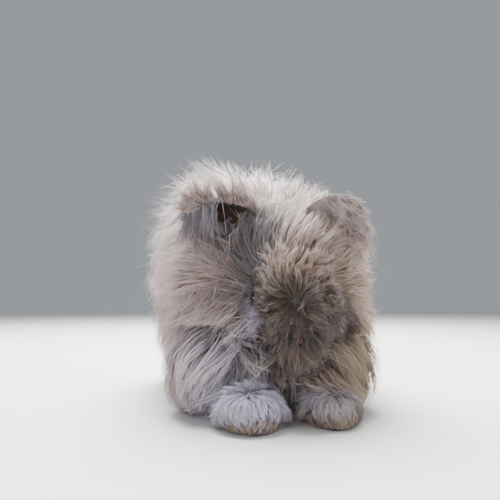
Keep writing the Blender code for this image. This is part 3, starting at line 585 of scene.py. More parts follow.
def bibLie(points, normals):
    # (0.5 a, -0.4, -0.85): down and forwards, parted under the head's middle
    aside = np.clip((points[:, 0] - headCentre[0]) / 0.04, -1.0, 1.0)
    return np.stack([0.50 * aside, np.full(len(points), -0.40), np.full(len(points), -0.85)], axis=1)


def legLie(points, normals):
    # (0.25 s, -0.48, -0.66): down, forwards and a little outwards
    aside = np.sign(points[:, 0] - slide[0])
    return np.stack([0.25 * aside, np.full(len(points), -0.48), np.full(len(points), -0.66)], axis=1)


def pawLie(points, normals):
    # away from a point over the front of each paw
    left, right = (form["centre"] for form in skinForms["forepaw"])
    middle = np.where(points[:, :1] > betweenPaws, left, right)
    away = points - middle - np.array((0.0, -0.015, 0.013))
    return away / np.linalg.norm(away, axis=1, keepdims=True)


# Coats: guides walk over the skin along the lie, and strands gather round them. Each coat: guides and
# strands to a guide, length, tallest height over the skin, spread of roots round a guide, clump (how far
# tips draw in), wave, jitter off the lie, stray (share that stands up), and widen, a width's factor.
# The shares say where along a strand its rings of corners stand.
shares = {"long": (0.0, 0.12, 0.34, 0.60, 0.82, 1.0), "middle": (0.0, 0.18, 0.46, 0.76, 1.0),
          "short": (0.0, 0.30, 0.68, 1.0)}
stepCount = 12
strand = {"width": 0.00040, "flatness": 0.6, "tipWidth": 0.28, "sink": 0.0015, "lowest": 0.0008,
          "outside": 0.012, "lowestCorner": 0.0004}
woolFaceValues = {"part": "face", "guides": 920, "strands": 10, "length": 0.024, "tallest": 0.011,
                  "spread": 0.0030, "clump": (0.25, 0.80), "wave": 0.0016, "jitter": 0.34,
                  "stray": 0.10, "widen": 0.85, "stations": "short", "lie": headLie,
                  "slot": "face_wool", "seed": 1}
woolCrownValues = {"part": "crown", "guides": 500, "strands": 12, "length": 0.060, "tallest": 0.036,
                   "spread": 0.0045, "clump": (0.30, 0.80), "wave": 0.0014, "jitter": 0.16,
                   "stray": 0.10, "widen": 0.98, "stations": "middle", "lie": headLie,
                   "slot": "face_wool", "seed": 2}
woolCheekValues = {"part": "cheeks", "guides": 400, "strands": 11, "length": 0.048, "tallest": 0.034,
                   "spread": 0.0042, "clump": (0.30, 0.80), "wave": 0.0014, "jitter": 0.20,
                   "stray": 0.08, "widen": 0.95, "stations": "middle", "lie": headLie,
                   "slot": "face_wool", "seed": 3}
woolNeckValues = {"part": "neck", "guides": 540, "strands": 12, "length": 0.058, "tallest": 0.060,
                  "spread": 0.0060, "clump": (0.15, 0.65), "wave": 0.0030, "jitter": 0.22,
                  "stray": 0.15, "widen": 1.05, "stations": "middle", "lie": ruffLie,
                  "slot": "neck_wool", "seed": 4}
woolBackValues = {"part": "backLeft", "guides": 420, "strands": 12, "length": 0.088, "tallest": 0.095,
                  "spread": 0.0065, "clump": (0.25, 0.75), "wave": 0.0032, "jitter": 0.20,
                  "stray": 0.24, "widen": 1.10, "stations": "middle", "lie": bodyLie,
                  "slot": "body_wool", "seed": 5}
woolFlankValues = {"part": "flankLeft", "guides": 350, "strands": 12, "length": 0.078,
                   "tallest": 0.075, "spread": 0.0060, "clump": (0.25, 0.75), "wave": 0.0030,
                   "jitter": 0.20, "stray": 0.12, "widen": 1.10, "stations": "middle", "lie": bodyLie,
                   "slot": "body_wool", "seed": 7}
woolForelegValues = {"part": "foreleg", "guides": 460, "strands": 10, "length": 0.046,
                     "tallest": 0.022, "spread": 0.0055, "clump": (0.15, 0.60), "wave": 0.0020,
                     "jitter": 0.24, "stray": 0.06, "widen": 1.1, "stations": "middle", "lie": legLie,
                     "slot": "leg_wool", "seed": 9}
woolHindlegValues = {"part": "thigh", "guides": 220, "strands": 11, "length": 0.062, "tallest": 0.046,
                     "spread": 0.0055, "clump": (0.30, 0.75), "wave": 0.0016, "jitter": 0.20,
                     "stray": 0.06, "widen": 1.1, "stations": "middle",
                     "lie": lieFrom((0.030, 0.040, 0.160), 0.6), "slot": "leg_wool", "seed": 10}
woolForepawValues = {"part": "forepaw", "guides": 780, "strands": 10, "length": 0.030,
                     "tallest": 0.016, "spread": 0.0026, "clump": (0.45, 0.95), "wave": 0.0016,
                     "jitter": 0.30, "stray": 0.05, "widen": 0.92, "stations": "short", "lie": pawLie,
                     "slot": "paw_wool", "seed": 11}
woolHindfootValues = {"part": "hindfoot", "guides": 140, "strands": 9, "length": 0.034,
                      "tallest": 0.016, "spread": 0.0035, "clump": (0.30, 0.75), "wave": 0.0006,
                      "jitter": 0.20, "stray": 0.05, "widen": 1.0, "stations": "short",
                      "lie": lieFrom((0.055, 0.020, 0.060), 0.6), "slot": "paw_wool", "seed": 12}
woolTailValues = {"part": "tail", "guides": 140, "strands": 11, "length": 0.050, "tallest": 0.034,
                  "spread": 0.0040, "clump": (0.30, 0.75), "wave": 0.0012, "jitter": 0.25,
                  "stray": 0.12, "widen": 1.0, "stations": "middle",
                  "lie": lieFrom((0.0, 0.150, 0.080)), "slot": "tail_wool", "seed": 13}
woolToeValues = {"part": "toes", "guides": 260, "strands": 8, "length": 0.012, "tallest": 0.0035,
                 "spread": 0.0012, "clump": (0.20, 0.60), "wave": 0.0003, "jitter": 0.10,
                 "stray": 0.03, "widen": 0.7, "stations": "short", "lie": legLie, "slot": "paw_wool",
                 "seed": 14}
woolBibValues = {"part": "bib", "guides": 320, "strands": 11, "length": 0.052, "tallest": 0.060,
                 "spread": 0.0050, "clump": (0.20, 0.70), "wave": 0.0026, "jitter": 0.12,
                 "stray": 0.06, "widen": 1.25, "stations": "middle", "lie": bibLie,
                 "slot": "neck_wool", "seed": 16}
woolHaloValues = {"part": "top", "guides": 230, "strands": 9, "length": 0.060, "tallest": 0.100,
                  "spread": 0.0065, "clump": (0.55, 0.95), "wave": 0.0034, "jitter": 0.30,
                  "stray": 0.70, "widen": 0.8, "stations": "middle", "lie": bodyLie,
                  "slot": "body_wool", "seed": 15}
coats = {
    "woolFace": woolFaceValues, "woolCrown": woolCrownValues, "woolCheeks": woolCheekValues,
    "woolNeck": woolNeckValues, "woolBackLeft": woolBackValues,
    "woolBackRight": {**woolBackValues, "part": "backRight", "seed": 6},
    "woolFlankLeft": woolFlankValues,
    "woolFlankRight": {**woolFlankValues, "part": "flankRight", "seed": 8},
    "woolForelegs": woolForelegValues, "woolHindlegs": woolHindlegValues,
    "woolForepaws": woolForepawValues, "woolHindfeet": woolHindfootValues, "woolTail": woolTailValues,
    "woolToes": woolToeValues, "woolBib": woolBibValues, "woolHalo": woolHaloValues,
}
partEdges = {"faceFront": -0.016, "faceTop": 0.026, "crown": -0.004, "back": 0.115,
             "sole": 0.006, "shared": 0.012}


def partOf(points):
    # the form that a place lies nearest to names its part; head and torso are divided further
    names = list(skinForms)
    gaps = np.stack([nearestForm(points, skinForms[name]) for name in names])
    part = np.array(names, dtype=object)[np.argmin(gaps, axis=0)]
    local = toHead(points)
    head = part == "head"
    part[head & (local[:, 1] < partEdges["faceFront"]) & (local[:, 2] < partEdges["faceTop"])] = "face"
    part[head & (part == "head") & (local[:, 2] > partEdges["crown"])] = "crown"
    part[part == "head"] = "cheeks"
    torso = part == "torso"
    upper = points[:, 2] > partEdges["back"]
    left = points[:, 0] > slide[0]
    part[torso & upper & left] = "backLeft"
    part[torso & upper & ~left] = "backRight"
    part[torso & ~upper & left] = "flankLeft"
    part[torso & ~upper & ~left] = "flankRight"
    return part


edgeA = bodyCorners[bodyTriangles[:, 1]] - bodyCorners[bodyTriangles[:, 0]]
edgeB = bodyCorners[bodyTriangles[:, 2]] - bodyCorners[bodyTriangles[:, 0]]
faceAreas = np.linalg.norm(np.cross(edgeA, edgeB), axis=1)
facePlaces = bodyCorners[bodyTriangles].mean(axis=1)
faceParts = partOf(facePlaces)
faceParts[facePlaces[:, 2] < partEdges["sole"]] = "sole"
# The right eye shows to the side and the front; wool hangs over the left one from the front.
eyeOpenings = []
for eyeSide, size, eyeWays in ((1.0, 0.76, ((0.99, 0.08, 0.05),)),
                               (-1.0, 1.0, ((-0.90, -0.42, 0.05), (-0.30, -0.95, 0.02)))):
    ways = np.array(eyeWays)
    ways = (ways / np.linalg.norm(ways, axis=1, keepdims=True)) @ headTurn.T
    eyeOpenings.append((onHead(eyePlace(eyeSide)), ways, size))
nosePlace = onHead(headPose["nose"])
cupTurn, cupRoot = earPlace("right")
cupPlaces, _ = earPoint(np.array((0.34, 0.44, 0.54)), np.array((0.16, 0.24, 0.16)), -1.0)
cupPlaces = cupRoot + cupPlaces @ cupTurn.T
earPlaces = cupRoot + earPoint(np.array((0.42, 0.64, 0.86)), np.full(3, -0.05), 1.0)[0] @ cupTurn.T
cupWay = np.array((-0.14, -0.99, 0.0))
noseWay = headTurn @ np.array((0.0, -1.0, 0.05))


# Coats that overlap others: both halves of the back share a strip, the halo is on its crest, and the
# bib hangs from chest and throat
fromSlide = facePlaces - slide
onBack = np.isin(faceParts, ("backLeft", "backRight"))
extraFaces = {
    "top": (facePlaces[:, 2] > 0.175) & (fromSlide[:, 1] > -0.060) & (fromSlide[:, 1] < 0.110),
    "backLeft": (fromSlide[:, 0] > -partEdges["shared"]) & onBack,
    "backRight": (fromSlide[:, 0] < partEdges["shared"]) & onBack,
    "bib": (facePlaces[:, 2] > 0.034) & (facePlaces[:, 2] < 0.128) & (fromSlide[:, 1] < -0.072)
           & (np.abs(facePlaces[:, 0]) < 0.095)
           & np.isin(faceParts, ("flankLeft", "flankRight", "neck", "foreleg")),
}
whorls = [onHead(headPose["whorl"])] + [form["centre"] + np.array((0.0, -0.024, 0.014))
                                       for form in skinForms["forepaw"]]


# Random ranges and limits that all coats share, in metres or as a share
growth = {
    "whorlMore": 5.0, "whorlWithin": 0.009, "keepsHeading": 0.6,
    "length": (0.70, 1.10), "eyeFar": 0.030, "shortest": 0.35,
    "height": (0.76, 1.06), "eyeNear": 0.008, "eyeRise": 0.022, "flattest": 0.12,
    "reach": (0.72, 1.0), "strayReach": (0.30, 0.75), "strayHeight": (0.85, 1.08), "strayClump": 0.2,
    "phase": 0.5, "turns": (0.8, 1.8), "depth": 0.62,
    "frizz": 0.0012, "strayFrizz": 0.0040, "frizzLength": 0.06,
    "width": (0.7, 1.3), "strayWidth": 0.75,
}


def scatter(chosen, count, draw):
    # random places on the chosen triangles, as likely as their area A (1 + m exp(-(d / w)^2)), with d
    # the distance to the nearest whorl
    near = np.min([np.linalg.norm(facePlaces[chosen] - whorl, axis=1) for whorl in whorls], axis=0)
    area = faceAreas[chosen] * (1.0 + growth["whorlMore"] * np.exp(-(near / growth["whorlWithin"]) ** 2))
    pick = chosen[draw.choice(len(chosen), count, p=area / area.sum())]
    first = np.sqrt(draw.random(count))[:, None]
    second = draw.random(count)[:, None]
    a, b, c = (bodyCorners[bodyTriangles[pick, corner]] for corner in range(3))
    return (1.0 - first) * a + first * (1.0 - second) * b + first * second * c


def walk(roots, lengths, lie, turnAside):
    # equal steps along the lie, a little aside of it, each dropped back on the skin
    current, heading, keeps = roots, None, growth["keepsHeading"]
    places, normals = [roots], [slopeOf(roots, bodyDistance)]
    for _ in range(stepCount):
        normal = normals[-1]
        wish = lie(current, normal)
        wish = wish / (np.linalg.norm(wish, axis=1, keepdims=True) + 1e-12) + turnAside
        heading = wish if heading is None else keeps * heading + (1.0 - keeps) * wish
        heading = heading - normal * np.sum(heading * normal, axis=1, keepdims=True)
        heading = heading / (np.linalg.norm(heading, axis=1, keepdims=True) + 1e-12)
        current = current + heading * (lengths / stepCount)[:, None]
        normal = slopeOf(current, bodyDistance)
        current = current - normal * bodyDistance(current)[:, None]
        places.append(current)
        normals.append(normal)
    return np.stack(places, axis=1), np.stack(normals, axis=1)


def strandSolid(name, centres, ups, widths, roots, tints, stations, middle):
    # Three corners round each station but the last, which is the tip: an angle of 120 degrees apart,
    # half a width aside and flatness times that up.
    count, stationCount = centres.shape[:2]
    ahead = np.gradient(centres, axis=1)
    ahead /= np.linalg.norm(ahead, axis=2, keepdims=True) + 1e-12
    side = np.cross(ahead, ups)
    side /= np.linalg.norm(side, axis=2, keepdims=True) + 1e-12
    rise = np.cross(side, ahead)
    taper = 1.0 - (1.0 - strand["tipWidth"]) * np.array(stations) ** 1.5
    half = widths[:, None, None] * taper[None, :, None]
    corners = []
    for corner in range(3):
        angle = 2.0 * math.pi * corner / 3.0 + math.pi / 6.0
        across, over = math.cos(angle), strand["flatness"] * math.sin(angle)
        corners.append(centres + side * half * across + rise * half * over)
    rings = np.stack(corners, axis=2)[:, :-1].reshape(count, -1, 3)
    points = np.concatenate([rings, centres[:, -1:]], axis=1)
    points[..., 2] = np.maximum(points[..., 2], strand["lowestCorner"])
    size = points.shape[1]
    body = gridTriangles(stationCount - 1, 3, True)
    last = 3 * (stationCount - 2)
    tip = np.array([(last, last + 1, size - 1), (last + 1, last + 2, size - 1), (last + 2, last, size - 1)])
    shape = np.concatenate([body, tip, [(2, 1, 0)]])
    triangles = (shape[None] + (np.arange(count) * size)[:, None, None]).reshape(-1, 3)
    piece = makeMesh(name, points.reshape(-1, 3), triangles)
    along = np.append(np.repeat(np.array(stations)[:-1], 3), 1.0)
    setAttribute(piece.data, "along", np.tile(along, count))
    setAttribute(piece.data, "tint", np.repeat(tints, size))
    writeMarkings(piece.data, markingsAt(roots), size)
    aside = np.append(np.tile((0.0, 0.001, 0.002), stationCount - 1), 0.001)
    patch = np.stack([aside, 0.003 * along], axis=-1)  # each strand's patch at its root's place
    places = (sphereMap(roots, middle)[:, None, :] + patch[None]).reshape(-1, 2)
    layer = piece.data.uv_layers.new(name="OFBake")
    layer.data.foreach_set("uv", places[triangles.ravel()].astype(np.float32).ravel())
    return piece


boxLow = np.array(cadLow) - strand["outside"]
boxHigh = np.array(cadHigh) + strand["outside"]


def nearestOnPath(centres, place):
    # least distance from each strand's straight pieces to one place
    start, run = centres[:, :-1], centres[:, 1:] - centres[:, :-1]
    share = np.sum((place - start) * run, axis=2) / (np.sum(run * run, axis=2) + 1e-12)
    nearest = start + run * np.clip(share, 0.0, 1.0)[..., None]
    return np.linalg.norm(nearest - place, axis=2).min(axis=1)


# How far strands keep from each place, and how far out along its way that holds
openings = {
    "eye": 0.0084, "eyeWay": 0.0052, "eyeRuns": (0.007, 0.012, 0.017, 0.022, 0.028, 0.034, 0.040),
    "nose": 0.0034, "noseRuns": (0.0, 0.006, 0.012),
    "cup": 0.0062, "ear": 0.0106, "earRuns": (0.004, 0.010, 0.016, 0.022, 0.030, 0.038),
    "ragged": (0.60, 1.20),
}


def clearOfFeatures(centres, offEar=True):
    # eyes stay open outwards and to the front, the nose stays bare, and the coat keeps off the right
    # ear, with a ragged edge: gap > limit times a random factor
    keep = np.ones(len(centres), bool)
    ragged = np.random.default_rng(len(centres)).uniform(*openings["ragged"], len(centres))
    for place, ways, size in eyeOpenings:
        keep &= nearestOnPath(centres, place) > openings["eye"] * size
        for way in ways:
            for run in openings["eyeRuns"]:
                keep &= nearestOnPath(centres, place + way * run) > openings["eyeWay"] * size
    for run in openings["noseRuns"]:
        keep &= nearestOnPath(centres, nosePlace + noseWay * run) > openings["nose"]
    for run in openings["earRuns"]:
        for place in cupPlaces:
            keep &= nearestOnPath(centres, place + cupWay * run) > openings["cup"] * ragged
        for place in earPlaces if offEar else ():
            keep &= nearestOnPath(centres, place + cupWay * run) > openings["ear"] * ragged
    return keep


def growCoat(name, coat):
    # Each strand follows its guide's path at its own height, drawn in to it towards the tip, with a wave;
    # strays stand up from their roots instead.
    draw = np.random.default_rng(coat["seed"])
    chosen = np.flatnonzero(extraFaces.get(coat["part"], faceParts == coat["part"]))
    roots = scatter(chosen, coat["guides"], draw)
    toEye = np.min([np.linalg.norm(roots - place, axis=1) / size ** 2.5
                    for place, _, size in eyeOpenings], axis=0)
    lengths = coat["length"] * draw.uniform(*growth["length"], len(roots))
    lengths *= np.clip(toEye / growth["eyeFar"], growth["shortest"], 1.0)
    behind = np.zeros(len(roots))
    if coat["part"] == "forepaw":  # shorter towards the floor, and flatter behind the paw's whorl
        lengths *= np.clip((roots[:, 2] - 0.002) / 0.026, 0.30, 1.0)
        middles = np.array([form["centre"][0] for form in skinForms["forepaw"]])
        aside = np.abs(roots[:, 0, None] - middles).min(axis=1)
        behind = np.clip((roots[:, 1] - np.array(whorls)[1:, 1].mean()) / 0.014, 0.0, 1.0)
        behind *= np.clip(1.4 - aside / 0.012, 0.0, 1.0)
        lengths *= 1.0 - 0.45 * behind
    places, normals = walk(roots, lengths, coat["lie"], draw.normal(0.0, coat["jitter"], roots.shape))
    gaps = np.minimum(reachAlong(places, normals, tipDistance), coat["tallest"])
    openAtEye = np.clip((toEye - growth["eyeNear"]) / growth["eyeRise"], growth["flattest"], 1.0)
    gaps *= (openAtEye * draw.uniform(*growth["height"], len(roots)))[:, None]
    gaps *= (1.0 - 0.65 * behind)[:, None]
    share = np.linspace(0.0, 1.0, stepCount + 1)
    heights = gaps * (1.0 - (1.0 - share) ** 1.8) - strand["sink"] * (1.0 - share) ** 4
    ahead = np.gradient(places, axis=1)
    ahead /= np.linalg.norm(ahead, axis=2, keepdims=True) + 1e-12
    sides = np.cross(ahead, normals)

    owner = np.repeat(np.arange(len(roots)), coat["strands"])
    count = len(owner)
    stations = np.array(shares[coat["stations"]])
    stray = draw.random(count) < coat["stray"]
    reach = np.where(stray, draw.uniform(*growth["strayReach"], count), draw.uniform(*growth["reach"], count))
    at = stations[None, :] * reach[:, None] * stepCount
    low = np.minimum(np.floor(at).astype(int), stepCount - 1)
    part = (at - low)[..., None]

    def along(values):
        # a guide's value at each station: v[n] (1 - t) + v[n + 1] t between two of its steps
        values = values if values.ndim == 3 else values[..., None]
        return values[owner[:, None], low] * (1.0 - part) + values[owner[:, None], low + 1] * part

    angle = draw.uniform(0.0, 2.0 * math.pi, count)
    radius = coat["spread"] * np.sqrt(draw.random(count))
    clump = draw.uniform(*coat["clump"], len(roots))[owner] * np.where(stray, growth["strayClump"], 1.0)
    gather = 1.0 - clump[:, None] * stations[None, :] ** 0.8
    sideways = (radius * np.cos(angle))[:, None] * gather
    forwards = (radius * np.sin(angle))[:, None] * gather
    phase = draw.uniform(0.0, 2.0 * math.pi, len(roots))[owner] + draw.normal(0.0, growth["phase"], count)
    turns = draw.uniform(*growth["turns"], len(roots))[owner]
    swing = phase[:, None] + 2.0 * math.pi * turns[:, None] * stations[None, :]
    wave = coat["wave"] * stations[None, :] * np.sin(swing)
    depth = 1.0 - growth["depth"] * draw.random(count) ** 1.7
    frizz = draw.normal(0.0, 1.0, (count, 3))[:, None, :] * (stations ** 2)[None, :, None]
    frizzWidth = np.where(stray, growth["strayFrizz"], growth["frizz"])[:, None, None]
    frizz *= frizzWidth * coat["length"] / growth["frizzLength"]
    side, up, forward = along(sides), along(normals), along(ahead)
    lying = along(heights)[..., 0] * depth[:, None]
    taller = draw.uniform(*growth["strayHeight"], count)[:, None]
    standing = along(gaps)[..., 0] * stations[None, :] ** 0.9 * taller
    raised = np.where(stray[:, None], standing, lying)[..., None]
    centres = (along(places) + up * raised + side * (sideways + wave)[..., None]
               + forward * forwards[..., None] + frizz)
    centres[..., 2] = np.maximum(centres[..., 2], strand["lowest"])
    keep = clearOfFeatures(centres) & np.all((centres > boxLow) & (centres < boxHigh), axis=(1, 2))
    centres, up = centres[keep], up[keep]
    thickness = draw.uniform(*growth["width"], count) * np.where(stray, growth["strayWidth"], 1.0)
    widths = strand["width"] * coat["widen"] * thickness[keep]
    tints = draw.random(count)[keep] * 0.6 + draw.random(len(roots))[owner][keep] * 0.4
    middle = facePlaces[chosen].mean(axis=0)
    return strandSolid(name, centres, up, widths, roots[owner][keep], tints, stations, middle)


coatPieces = {}
for coatName, coatSettings in coats.items():
    coatPieces[coatName] = growCoat(coatName, coatSettings)
    print(coatName, len(coatPieces[coatName].data.polygons), "triangles")


# Wool of the ears: long tassels from the upper rim, a fringe below, a coat on the back, down in the cup.
# Each group: guides, share along the leaf, share across it, face, sweep, length, tint
earWool = {
    "strands": 11, "spread": 0.0027, "width": 0.00042, "stations": "middle",
    "right": {"seed": 32, "gather": 0.62, "loose": 0.20, "groups": (
        (56, (0.56, 0.80), (0.26, 0.53), 1.0, (0.02, -0.50, -0.90), 0.056, 0.0),
        (36, (0.84, 1.00), (0.10, 0.50), 1.0, (-0.22, -0.38, -0.90), 0.048, 0.0),
        (34, (0.64, 0.95), (0.00, 0.50), -1.0, (-0.10, -0.30, -0.95), 0.030, 0.0),
        (80, (0.00, 1.00), (0.34, 0.54), 1.0, (-0.30, -0.20, 0.75), 0.034, 1.0),
        (34, (0.76, 1.00), (0.36, 0.54), 1.0, (-0.70, -0.50, -0.05), 0.024, 0.9),
        (30, (0.20, 0.80), (0.46, 0.54), 1.0, (-0.20, -0.80, 0.15), 0.015, 0.8),
        (44, (0.10, 1.00), (-0.53, -0.40), 1.0, (-0.30, -0.35, -0.85), 0.028, 0.5),
        (70, (0.10, 1.00), (-0.53, -0.36), -1.0, (-0.20, -0.55, -0.60), 0.016, 0.4),
        (50, (0.00, 1.00), (-0.50, 0.45), 1.0, (-0.45, 0.25, 0.45), 0.026, 1.0),
        (80, (0.00, 0.95), (-0.48, 0.30), -1.0, (-0.55, -0.35, -0.60), 0.013, 0.0))},
    "left": {"seed": 31, "gather": 0.35, "loose": 0.18, "groups": (
        (60, (0.00, 0.80), (0.40, 0.53), 1.0, (0.55, -0.20, -0.70), 0.028, 0.85),
        (90, (0.00, 0.95), (0.44, 0.54), 1.0, (0.75, -0.10, -0.05), 0.012, 0.75),
        (36, (0.86, 1.00), (-0.50, 0.53), 1.0, (0.30, -0.20, -0.85), 0.024, 0.8),
        (40, (0.10, 0.90), (-0.53, -0.40), 1.0, (0.45, -0.10, -0.85), 0.036, 0.9),
        (40, (0.00, 0.85), (-0.50, 0.45), 1.0, (0.45, 0.55, 0.10), 0.018, 0.85),
        (80, (0.00, 0.85), (-0.45, 0.48), -1.0, (0.55, -0.35, -0.65), 0.026, 0.85))},
}


def growEar(which):
    # From the leaf out along its normal, then over into the sweep: p + L (l n s + w s^1.4)
    settings = earWool[which]
    draw = np.random.default_rng(settings["seed"])
    turn, root = earPlace(which)
    guides, normals, wishes, lengths, tones = [], [], [], [], []
    for amount, sharePair, columnPair, sign, sweep, length, tone in settings["groups"]:
        point, normal = earPoint(draw.uniform(*sharePair, amount), draw.uniform(*columnPair, amount), sign)
        wish = np.array(sweep) / np.linalg.norm(sweep) + draw.normal(0.0, settings["loose"], (amount, 3))
        guides.append(root + point @ turn.T)
        normals.append(normal @ turn.T)
        wishes.append(wish / np.linalg.norm(wish, axis=1, keepdims=True))
        lengths.append(length * draw.uniform(0.55, 1.10, amount))
        tones.append(np.full(amount, tone))
    guides, normals, wishes = (np.concatenate(values) for values in (guides, normals, wishes))
    lengths, tones = np.concatenate(lengths), np.concatenate(tones)
    owner = np.repeat(np.arange(len(guides)), earWool["strands"])
    count = len(owner)
    stations = np.array(shares[earWool["stations"]])
    length = lengths[owner] * draw.uniform(0.75, 1.05, count)
    offset = draw.normal(0.0, earWool["spread"], (count, 3))
    offset -= normals[owner] * np.sum(offset * normals[owner], axis=1, keepdims=True)
    gather = 1.0 - settings["gather"] * stations[None, :, None] ** 0.8
    bend = stations[None, :, None] ** 1.4
    lift = 0.30 * (1.0 - 0.5 * stations[None, :, None]) * stations[None, :, None]
    centres = (guides[owner][:, None] + offset[:, None] * gather
               + length[:, None, None] * (normals[owner][:, None] * lift + wishes[owner][:, None] * bend))
    centres += draw.normal(0.0, 0.0011, (count, 3))[:, None] * (stations ** 2)[None, :, None]
    keep = clearOfFeatures(centres, False) & np.all((centres > boxLow) & (centres < boxHigh), axis=(1, 2))
    ups = np.repeat(normals[owner][:, None], len(stations), axis=1)[keep]
    widths = (earWool["width"] * draw.uniform(0.7, 1.3, count))[keep]
    name = "earWool" + which.capitalize()
    tints = draw.random(count)[keep]
    piece = strandSolid(name, centres[keep], ups, widths, guides[owner][keep], tints, stations, root)
    size = len(piece.data.vertices) // np.count_nonzero(keep)
    setAttribute(piece.data, "ear", np.repeat(1.0 - tones[owner][keep], size))
    print(name, len(piece.data.polygons), "triangles")
    return piece


earPieces = {which: growEar(which) for which in ("left", "right")}


# Eyes, lids, whiskers and claws
eyeSettings = {"radius": 0.0080, "cornea": 0.0006, "inset": 0.0002, "way": (1.0, -0.35, 0.10),
               "lidReach": 0.0085, "lidWidth": 0.0016, "lidOut": 0.0020, "lidHeight": 0.80}


def makeEye(name, sideSign):
    # a sphere with a slight bulge r + c exp(-(a / 0.5)^2) round its outward axis
    centre = onHead(eyePlace(sideSign))
    way = np.array(eyeSettings["way"])
    outwards = headTurn @ (way * (sideSign, 1.0, 1.0) / np.linalg.norm(way))
    form = {"centre": np.zeros(3), "radii": np.ones(3), "axes": np.eye(3)}
    unit, triangles = ellipsoidSurface(form, 32, 48)
    apart = np.arccos(np.clip(unit @ outwards, -1.0, 1.0))
    radius = eyeSettings["radius"] - eyeSettings["inset"] + eyeSettings["cornea"] * np.exp(-(apart / 0.5) ** 2)
    piece = makeMesh(name, centre + unit * radius[:, None], triangles)
    setAttribute(piece.data, "apart", apart)
    return piece, centre, outwards


def makeLid(name, centre, outwards):
    # a ring round the eye's opening, lower than wide: (R + t cos b) (cos a, h sin a) and t sin b outwards,
    # with a round section t that is thicker above
    helper = np.cross((0.0, 0.0, 1.0), outwards)
    helper /= np.linalg.norm(helper)
    above = np.cross(outwards, helper)
    around = np.linspace(0.0, 2.0 * math.pi, 48, endpoint=False)[:, None]
    turn = np.linspace(0.0, 2.0 * math.pi, 10, endpoint=False)[None, :]
    thick = eyeSettings["lidWidth"] * (1.0 + 0.25 * np.sin(around))
    reach = eyeSettings["lidReach"] + thick * np.cos(turn)
    rise = eyeSettings["lidOut"] + thick * np.sin(turn)
    corners = (centre + (reach * np.cos(around))[..., None] * helper
               + (eyeSettings["lidHeight"] * reach * np.sin(around))[..., None] * above
               + rise[..., None] * outwards)
    rows, columns = reach.shape
    grid = gridTriangles(rows + 1, columns, True) % (rows * columns)
    return makeMesh(name, corners.reshape(-1, 3), grid)


eyes, lids = [], []
for sideName, sideSign in (("Left", 1.0), ("Right", -1.0)):
    eye, eyeCentre, eyeOut = makeEye("eye" + sideName, sideSign)
    eyes.append(eye)
    lids.append(makeLid("lid" + sideName, eyeCentre, eyeOut))

whiskerSettings = {"count": 11, "length": 0.050, "width": 0.00022, "seed": 51}


def makeWhiskers():
    # From the pads outwards and down: p + L (o s + d s^2), with o the heading and d the droop
    draw = np.random.default_rng(whiskerSettings["seed"])
    count = whiskerSettings["count"] * 2
    sign = np.repeat((1.0, -1.0), whiskerSettings["count"])
    local = np.stack([sign * draw.uniform(0.009, 0.014, count), draw.uniform(-0.050, -0.046, count),
                      draw.uniform(-0.057, -0.049, count)], axis=1)
    roots = headCentre + local @ headTurn.T
    heading = np.stack([sign * 0.9, draw.uniform(-0.5, 0.0, count), draw.uniform(-0.35, 0.1, count)], axis=1)
    heading = heading @ headTurn.T
    stations = np.array(shares["long"])
    length = (whiskerSettings["length"] * draw.uniform(0.7, 1.1, count))[:, None, None]
    along = stations[None, :, None]
    droop = np.array((0.0, 0.1, -0.35)) * along ** 2
    centres = roots[:, None] + length * (heading[:, None] * along + droop)
    centres[..., 2] = np.maximum(centres[..., 2], strand["lowest"])
    ups = np.repeat(np.tile((0.0, 0.0, 1.0), (count, 1))[:, None], len(stations), axis=1)
    widths = np.full(count, whiskerSettings["width"])
    return strandSolid("whiskers", centres, ups, widths, roots, draw.random(count), stations, headCentre)


whiskers = makeWhiskers()

clawSettings = {"length": 0.0070, "radius": 0.0012, "spread": 0.0075, "droop": 0.0035, "rings": 8,
                "columns": 10, "lowest": 0.0003}


def makeClaws():
    # a circle of radius r (1 - 0.92 s^1.3) along the path (0, -L s, -d s^2), one to a toe
    rings, columns = clawSettings["rings"], clawSettings["columns"]
    starts = [form["centre"] + np.array((0.0, 0.0010 - form["radii"][1], -0.0005))
              for form in skinForms["toes"]]
    for form in skinForms["hindfoot"]:
        for toe in (-1.5, -0.5, 0.5, 1.5):
            starts.append(form["centre"] + np.array((toe * clawSettings["spread"],
                                                     0.0030 * toe * toe - form["radii"][1],
                                                     -0.35 * form["radii"][2])))
    along = np.linspace(0.0, 1.0, rings)[:, None]
    turn = np.linspace(0.0, 2.0 * math.pi, columns, endpoint=False)[None, :]
    radius = clawSettings["radius"] * (1.0 - 0.92 * along ** 1.3)
    path = np.stack([0.0 * along, -clawSettings["length"] * along, -clawSettings["droop"] * along ** 2],
                    axis=-1)
    ring = path + np.stack([radius * np.cos(turn), 0.0 * radius * turn, radius * np.sin(turn)], axis=-1)
    tip = np.array((0.0, -clawSettings["length"] * 1.05, -0.0037))
    shape = np.concatenate([ring.reshape(-1, 3), [tip], [np.zeros(3)]])
    count = len(shape) - 2
    column = np.arange(columns)
    after = (column + 1) % columns
    end = np.stack([column, after, np.full(columns, columns)], axis=-1) + count - columns
    base = np.stack([after, column, np.full(columns, count + 1)], axis=-1)
    faces = np.concatenate([gridTriangles(rings, columns, True), end, base])
    corners, triangles = joined([(start + shape, faces) for start in starts])
    corners[:, 2] = np.maximum(corners[:, 2], clawSettings["lowest"])
    piece = makeMesh("claws", corners, triangles)
    faceOutwards(piece.data)
    return piece


claws = makeClaws()
print("eyes, lids, whiskers and claws")


